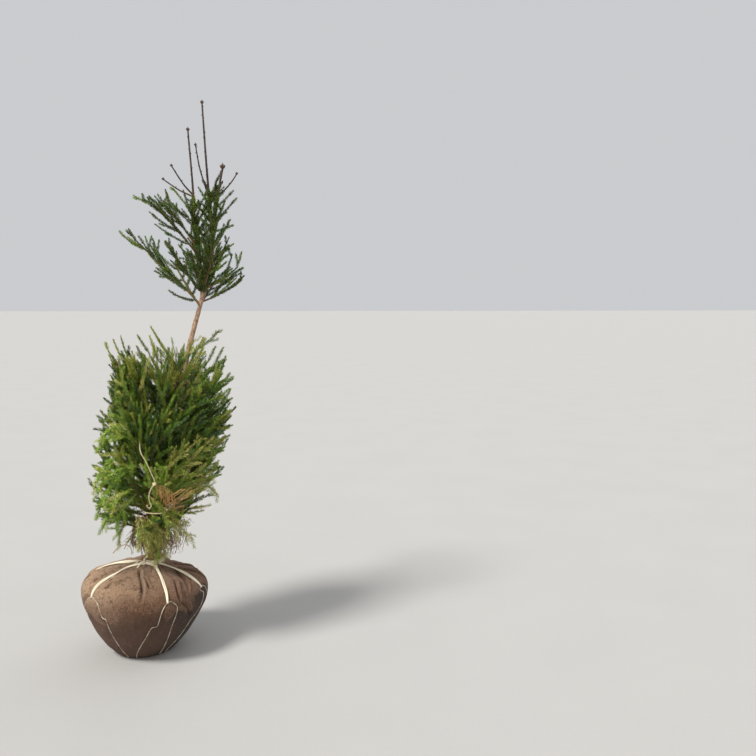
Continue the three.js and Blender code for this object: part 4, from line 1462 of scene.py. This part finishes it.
add_needles("needles_dry", *cleared([
    dry_needles(dead[::3], 0.45, 420, 0.9),
    dry_needles(dead_sides[::2], 0.2, 420, 0.9),
    dry_needles(drops, 0.3, 100, 0.8),
]), "dry_needles", ())
add_needles("needles_young_wood", *cleared([
    sleeve(trunk_line, 1.68, 1.99, 4200, 0.016, 0.0085),
    sleeve(leader_left, 1.69, 2.11, 3200, 0.015, 0.0055),
    sleeve(leader_main, 2.0, 2.14, 2600, 0.014, 0.0045),
    sleeve(leader_second, 2.0, 2.13, 2600, 0.014, 0.0045),
]), "needles", nodes_named("sleeve"))

# %% [markdown]
# Twigs carry the needles and show through them as pale brown lines. Round ones would be finer, but at
# one or two millimetres three or four sides are enough. Each line of the growth rule gets such a skin,
# thickest where it leaves its parent. Twigs and needles stay in pieces apart, so that either can be
# given another finish.

# %% Twig maker
TWIG_COLOURS = {
    "twig_tan": tint(158, 126, 84),
    "twig_brown": tint(126, 96, 68),
    "twig_dead": tint(112, 88, 70),
    "twig_pale": tint(168, 146, 112),
    "twig_orange": tint(214, 172, 108),
}
TAN, BROWN, DEAD_BROWN, PALE, ORANGE = range(len(TWIG_COLOURS))
twig_finishes = [plain_finish(name, colour, 0.8) for name, colour in TWIG_COLOURS.items()]


def twig_skins(lines, foot, tip, sides, kinds):
    """Thin skins for many lines, and the finish number of each triangle."""
    radii = np.broadcast_to(np.linspace(foot, tip, lines.shape[1]), lines.shape[:2])
    shape = skins(lines, radii, sides)
    chosen = dice.choice(kinds, len(lines))
    walls = 2 * sides * (lines.shape[1] - 1)
    return shape, np.concatenate([np.repeat(chosen, each) for each in (walls, sides, sides)])


def add_twigs(name, sets, nodes=()):
    """Sets of twigs as one piece. Each is: lines, radius at foot and tip, sides, and its finishes."""
    parts = [twig_skins(*row) for row in sets]
    shape = gathered([part for part, _ in parts])
    add_piece(name, shape, twig_finishes, nodes, np.concatenate([shades for _, shades in parts]))


print("colours of twigs:", len(twig_finishes))

# %% Twigs and boughs
lower_nodes = nodes_named("bough_skirt", "bough_belly", "bough_shoulder")
upper_nodes = [name for name in nodes_named("bough_") if name not in lower_nodes]
add_twigs("boughs_lower", [(boughs, 0.0052, 0.0017, 7, [BROWN, BROWN, DEAD_BROWN])], lower_nodes)
add_twigs("boughs_upper", [(upper, 0.0050, 0.0018, 7, [TAN, BROWN])], upper_nodes)
add_twigs("twigs_lower", [
    (sprays, 0.0019, 0.0009, 4, [TAN, BROWN, BROWN]),
    (shoots, 0.0011, 0.0007, 3, [TAN, TAN, BROWN, PALE]),
])
add_twigs("twigs_upper", [
    (upper_sprays, 0.0018, 0.0010, 4, [TAN, BROWN]),
    (upper_shoots, 0.0012, 0.0008, 3, [TAN, BROWN]),
    (young_shoots, 0.0022, 0.0011, 4, [TAN, BROWN]),
    (young_sides, 0.0012, 0.0008, 3, [TAN, BROWN]),
])
add_twigs("twigs_foot", [
    (dead, 0.0021, 0.0007, 4, [DEAD_BROWN, DEAD_BROWN, BROWN]),
    (dead_sides, 0.0010, 0.0005, 3, [DEAD_BROWN, BROWN]),
    (bare, 0.0018, 0.0009, 4, [TAN, BROWN, DEAD_BROWN, PALE]),
    (bare_sides, 0.0011, 0.0006, 3, [TAN, BROWN, DEAD_BROWN, PALE]),
    (loops, 0.0022, 0.0014, 4, [TAN, PALE]),
    (fan, 0.0016, 0.0011, 4, [TAN, ORANGE, ORANGE]),
    (fan_sides, 0.0012, 0.0007, 3, [TAN, ORANGE, ORANGE]),
    (soft, 0.0019, 0.0010, 4, [TAN, PALE, PALE]),
    (soft_sides, 0.0011, 0.0007, 3, [TAN, PALE, PALE]),
])

# %% [markdown]
# Buds sit along the bare wood of the leaders, in a cluster at its end, and at the tips of the upper
# shoots. They are small, and a bump in the bark could stand for them. But against the sky they give the
# leaders their knobbly outline, so they are real drop shapes, made all at once from places and headings.

# %% Bud maker
SIDE_BUD, CROWN_BUD, END_BUD = 0.0080, 0.011, 0.014


def buds(places, headings, length, width):
    """Small drop shapes: each starts at a place and points along its heading."""
    share = np.array([0.0, 0.18, 0.45, 0.75, 1.0])
    girth = np.array([0.45, 0.95, 1.0, 0.6, 0.08])
    lines = places[:, None] + headings[:, None] * (share[None, :, None] * length[:, None, None])
    return skins(lines, girth[None] * width[:, None], 6)


def bud_places(line, from_height, spacing=0.021):
    """Side buds up the bare part of a leader, then five round its tip and one at the end."""
    heights = np.arange(from_height, line[-1, 2] - 0.01, spacing)
    heights = heights + dice.normal(0, 0.004, len(heights))
    out = compass(np.arange(len(heights)) * GOLDEN)
    round_tip = unit(compass(np.arange(5) * 2 * np.pi / 5 + 0.4) + 1.1 * UP)
    tip = np.repeat(line[-1:] - 0.003 * UP, 6, axis=0)
    places = np.vstack([at_height(line, heights) + 0.0018 * out, tip])
    headings = np.vstack([unit(out + 0.9 * UP), round_tip, UP[None]])
    size = np.concatenate([np.full(len(heights), SIDE_BUD), np.full(5, CROWN_BUD), [END_BUD]])
    return places, headings, size


print("lengths of side, crown and end buds:", SIDE_BUD, CROWN_BUD, END_BUD)

# %% Buds
BARE_FROM = 2.13
SPRAY_BUD, SPRAY_BUD_WIDTH, BUD_WIDTH = 0.007, 0.0018, 0.27
# The tip buds of the tops are fatter than those of the thinner shoots beside them.
FAT_BUDS = {"leader_second": 1.9, "leader_main": 1.25, "leader_left": 1.25}
bud_shapes = []
for name, line in {**leader_lines, **twig_lines}.items():
    places, headings, size = bud_places(line, BARE_FROM if "leader" in name else line[len(line) // 2, 2])
    size[-6:] *= FAT_BUDS.get(name, 1)
    bud_shapes.append(buds(places, headings, size, size * BUD_WIDTH))
tips = np.concatenate([upper[:, -2:], upper_sprays[:, -2:], young_shoots[:, -2:]])
heading = unit(tips[:, 1] - tips[:, 0])
size, width = np.full(len(tips), SPRAY_BUD), np.full(len(tips), SPRAY_BUD_WIDTH)
bud_shapes.append(buds(tips[:, 1] - 0.001 * heading, heading, size, width))


def bud_finish():
    """Brown bud scales, mottled lighter and darker."""
    finish, place = new_finish("bud_scales", Roughness=0.6)
    scales = place.grain(420.0, 2.0)
    dress(finish, {"Base Color": scales.step(0.4, 0.62).choose(tint(62, 44, 38), tint(112, 80, 60))})
    return finish


add_piece("buds", gathered(bud_shapes), [bud_finish()])

# %% [markdown]
# One length of twine ties the lower crown in. It comes from low on the near side, is knotted there,
# and climbs round the left side to the back. Its route repeats the solid's, a little proud of the
# needles up to the belly, from where it dives in among them. A short piece ties the crown's neck above
# the ball, and two loose ends show higher up. A smooth tube would pass for wire, so it has two strands.

# %% Twine
NECK_TWINE = [(-102, 709), (-98, 704), (-92, 700), (-86, 699), (-81, 703)]
STRAY_TWINE = [[(-84, 1328), (-76, 1312), (-66, 1300)], [(-82, 1166), (-77, 1152), (-72, 1144)]]
TWINE_KNOT = [(-97.4, 852), (-95.6, 842), (-97.5, 834)]
TWINE_RADIUS, TWINE_DIVE = 0.0024, 0.080


def twine_line(route, count, sink=-0.003):
    """A line round the crown through places given as (degrees, millimetres up)."""
    places = []
    for degrees, level in route:
        height = np.array(level / 1000)
        deeper = TWINE_DIVE * eased(height, 0.98, 1.06)
        places.append(crown_place(np.radians(degrees), crown_radius(height) - sink - deeper, height))
    return smooth_line(places, count)


def crown_out(line):
    """Directions away from the crown's middle."""
    angle, _ = crown_angle(line)
    return compass(angle)


twine_lines = [
    twine_line(TWINE_ROUTE, 460),
    twine_line(NECK_TWINE, 90, 0.012),
    *(twine_line(route, 30, 0.002) for route in STRAY_TWINE),
]
twine_shapes = [
    cord(line, TWINE_RADIUS, crown_out(line), pitch=0.011, strands=2, sides=6) for line in twine_lines
]
twine_shapes.append(knot(twine_line(TWINE_KNOT, 3)[1], 0.0075))
twine = fibre_finish("jute_twine", tint(242, 228, 190), tint(204, 180, 136))
add_piece("crown_twine_cord", gathered(twine_shapes), [twine], ["crown_twine"])

# %% [markdown]
# The camera stands where the photo's did: at eye height, looking a little down, with the plant in the
# left third of the picture. The floor is plain and pale. The light is that of an overcast day from the
# upper left. A picture of a sky could give it, but a plain pale sky, one large lamp and a faint one
# from behind need no file and are easy to change.

# %% Camera
EYE_HEIGHT, EYE_AWAY = 1.6, 3.6439
LOOK_DOWN, LOOK_RIGHT = 5.290, 17.672
camera_data = bpy.data.cameras.new("camera")
camera_data.lens = 36.0
camera_data.sensor_width = 36.0
camera_data.clip_end = 900.0
camera = bpy.data.objects.new("camera", camera_data)
camera.location = (0.0, -EYE_AWAY, EYE_HEIGHT)
camera.rotation_euler = (math.radians(90 - LOOK_DOWN), 0.0, math.radians(-LOOK_RIGHT))
bpy.context.scene.collection.objects.link(camera)
bpy.context.scene.camera = camera
print("camera", [round(v, 2) for v in camera.location])

# %% Floor
FLOOR_HALF, FLOOR_DROP = 400.0, 0.0005


def floor_finish():
    """A pale floor, a little uneven so that it isn't one flat colour."""
    finish, place = new_finish("pale_floor", Roughness=0.9)
    clouds = place.grain(1.7, 5.0)
    grit = place.grain(60.0, 3.0)
    colour = (0.6 * clouds + 0.4 * grit).choose(tint(170, 168, 165), tint(180, 178, 175))
    dress(finish, {"Base Color": colour})
    return finish


floor_mesh = bpy.data.meshes.new("floor")
corners = [(x * FLOOR_HALF, y * FLOOR_HALF, -FLOOR_DROP) for x, y in ((-1, -1), (1, -1), (1, 1), (-1, 1))]
floor_mesh.from_pydata(corners, [], [(0, 1, 2, 3)])
floor_mesh.materials.append(floor_finish())
floor = bpy.data.objects.new("floor", floor_mesh)
bpy.context.scene.collection.objects.link(floor)
print("floor", FLOOR_DROP, "under the ball")

# %% Sky and lamps
world = bpy.data.worlds.new("soft_sky")
world.use_nodes = True
sky = world.node_tree.nodes["Background"]
sky.inputs["Color"].default_value = (0.95, 0.97, 1.0, 1.0)
sky.inputs["Strength"].default_value = 0.62
bpy.context.scene.world = world
bpy.context.scene.view_settings.view_transform = "Standard"


def add_lamp(name, place, strength, spread, colour):
    """A far lamp with soft shadows that shines from a place towards the origin."""
    data = bpy.data.lights.new(name, "SUN")
    data.energy, data.angle, data.color = strength, math.radians(spread), colour
    lamp = bpy.data.objects.new(name, data)
    lamp.location = place
    lamp.rotation_euler = Vector(place).to_track_quat("Z", "Y").to_euler()
    bpy.context.scene.collection.objects.link(lamp)


add_lamp("key", (-3.0, -1.2, 4.1), 3.5, 16, (1.0, 0.98, 0.94))
add_lamp("rear", (2.4, 2.8, 3.6), 0.5, 70, (0.96, 0.98, 1.0))

# %% [markdown]
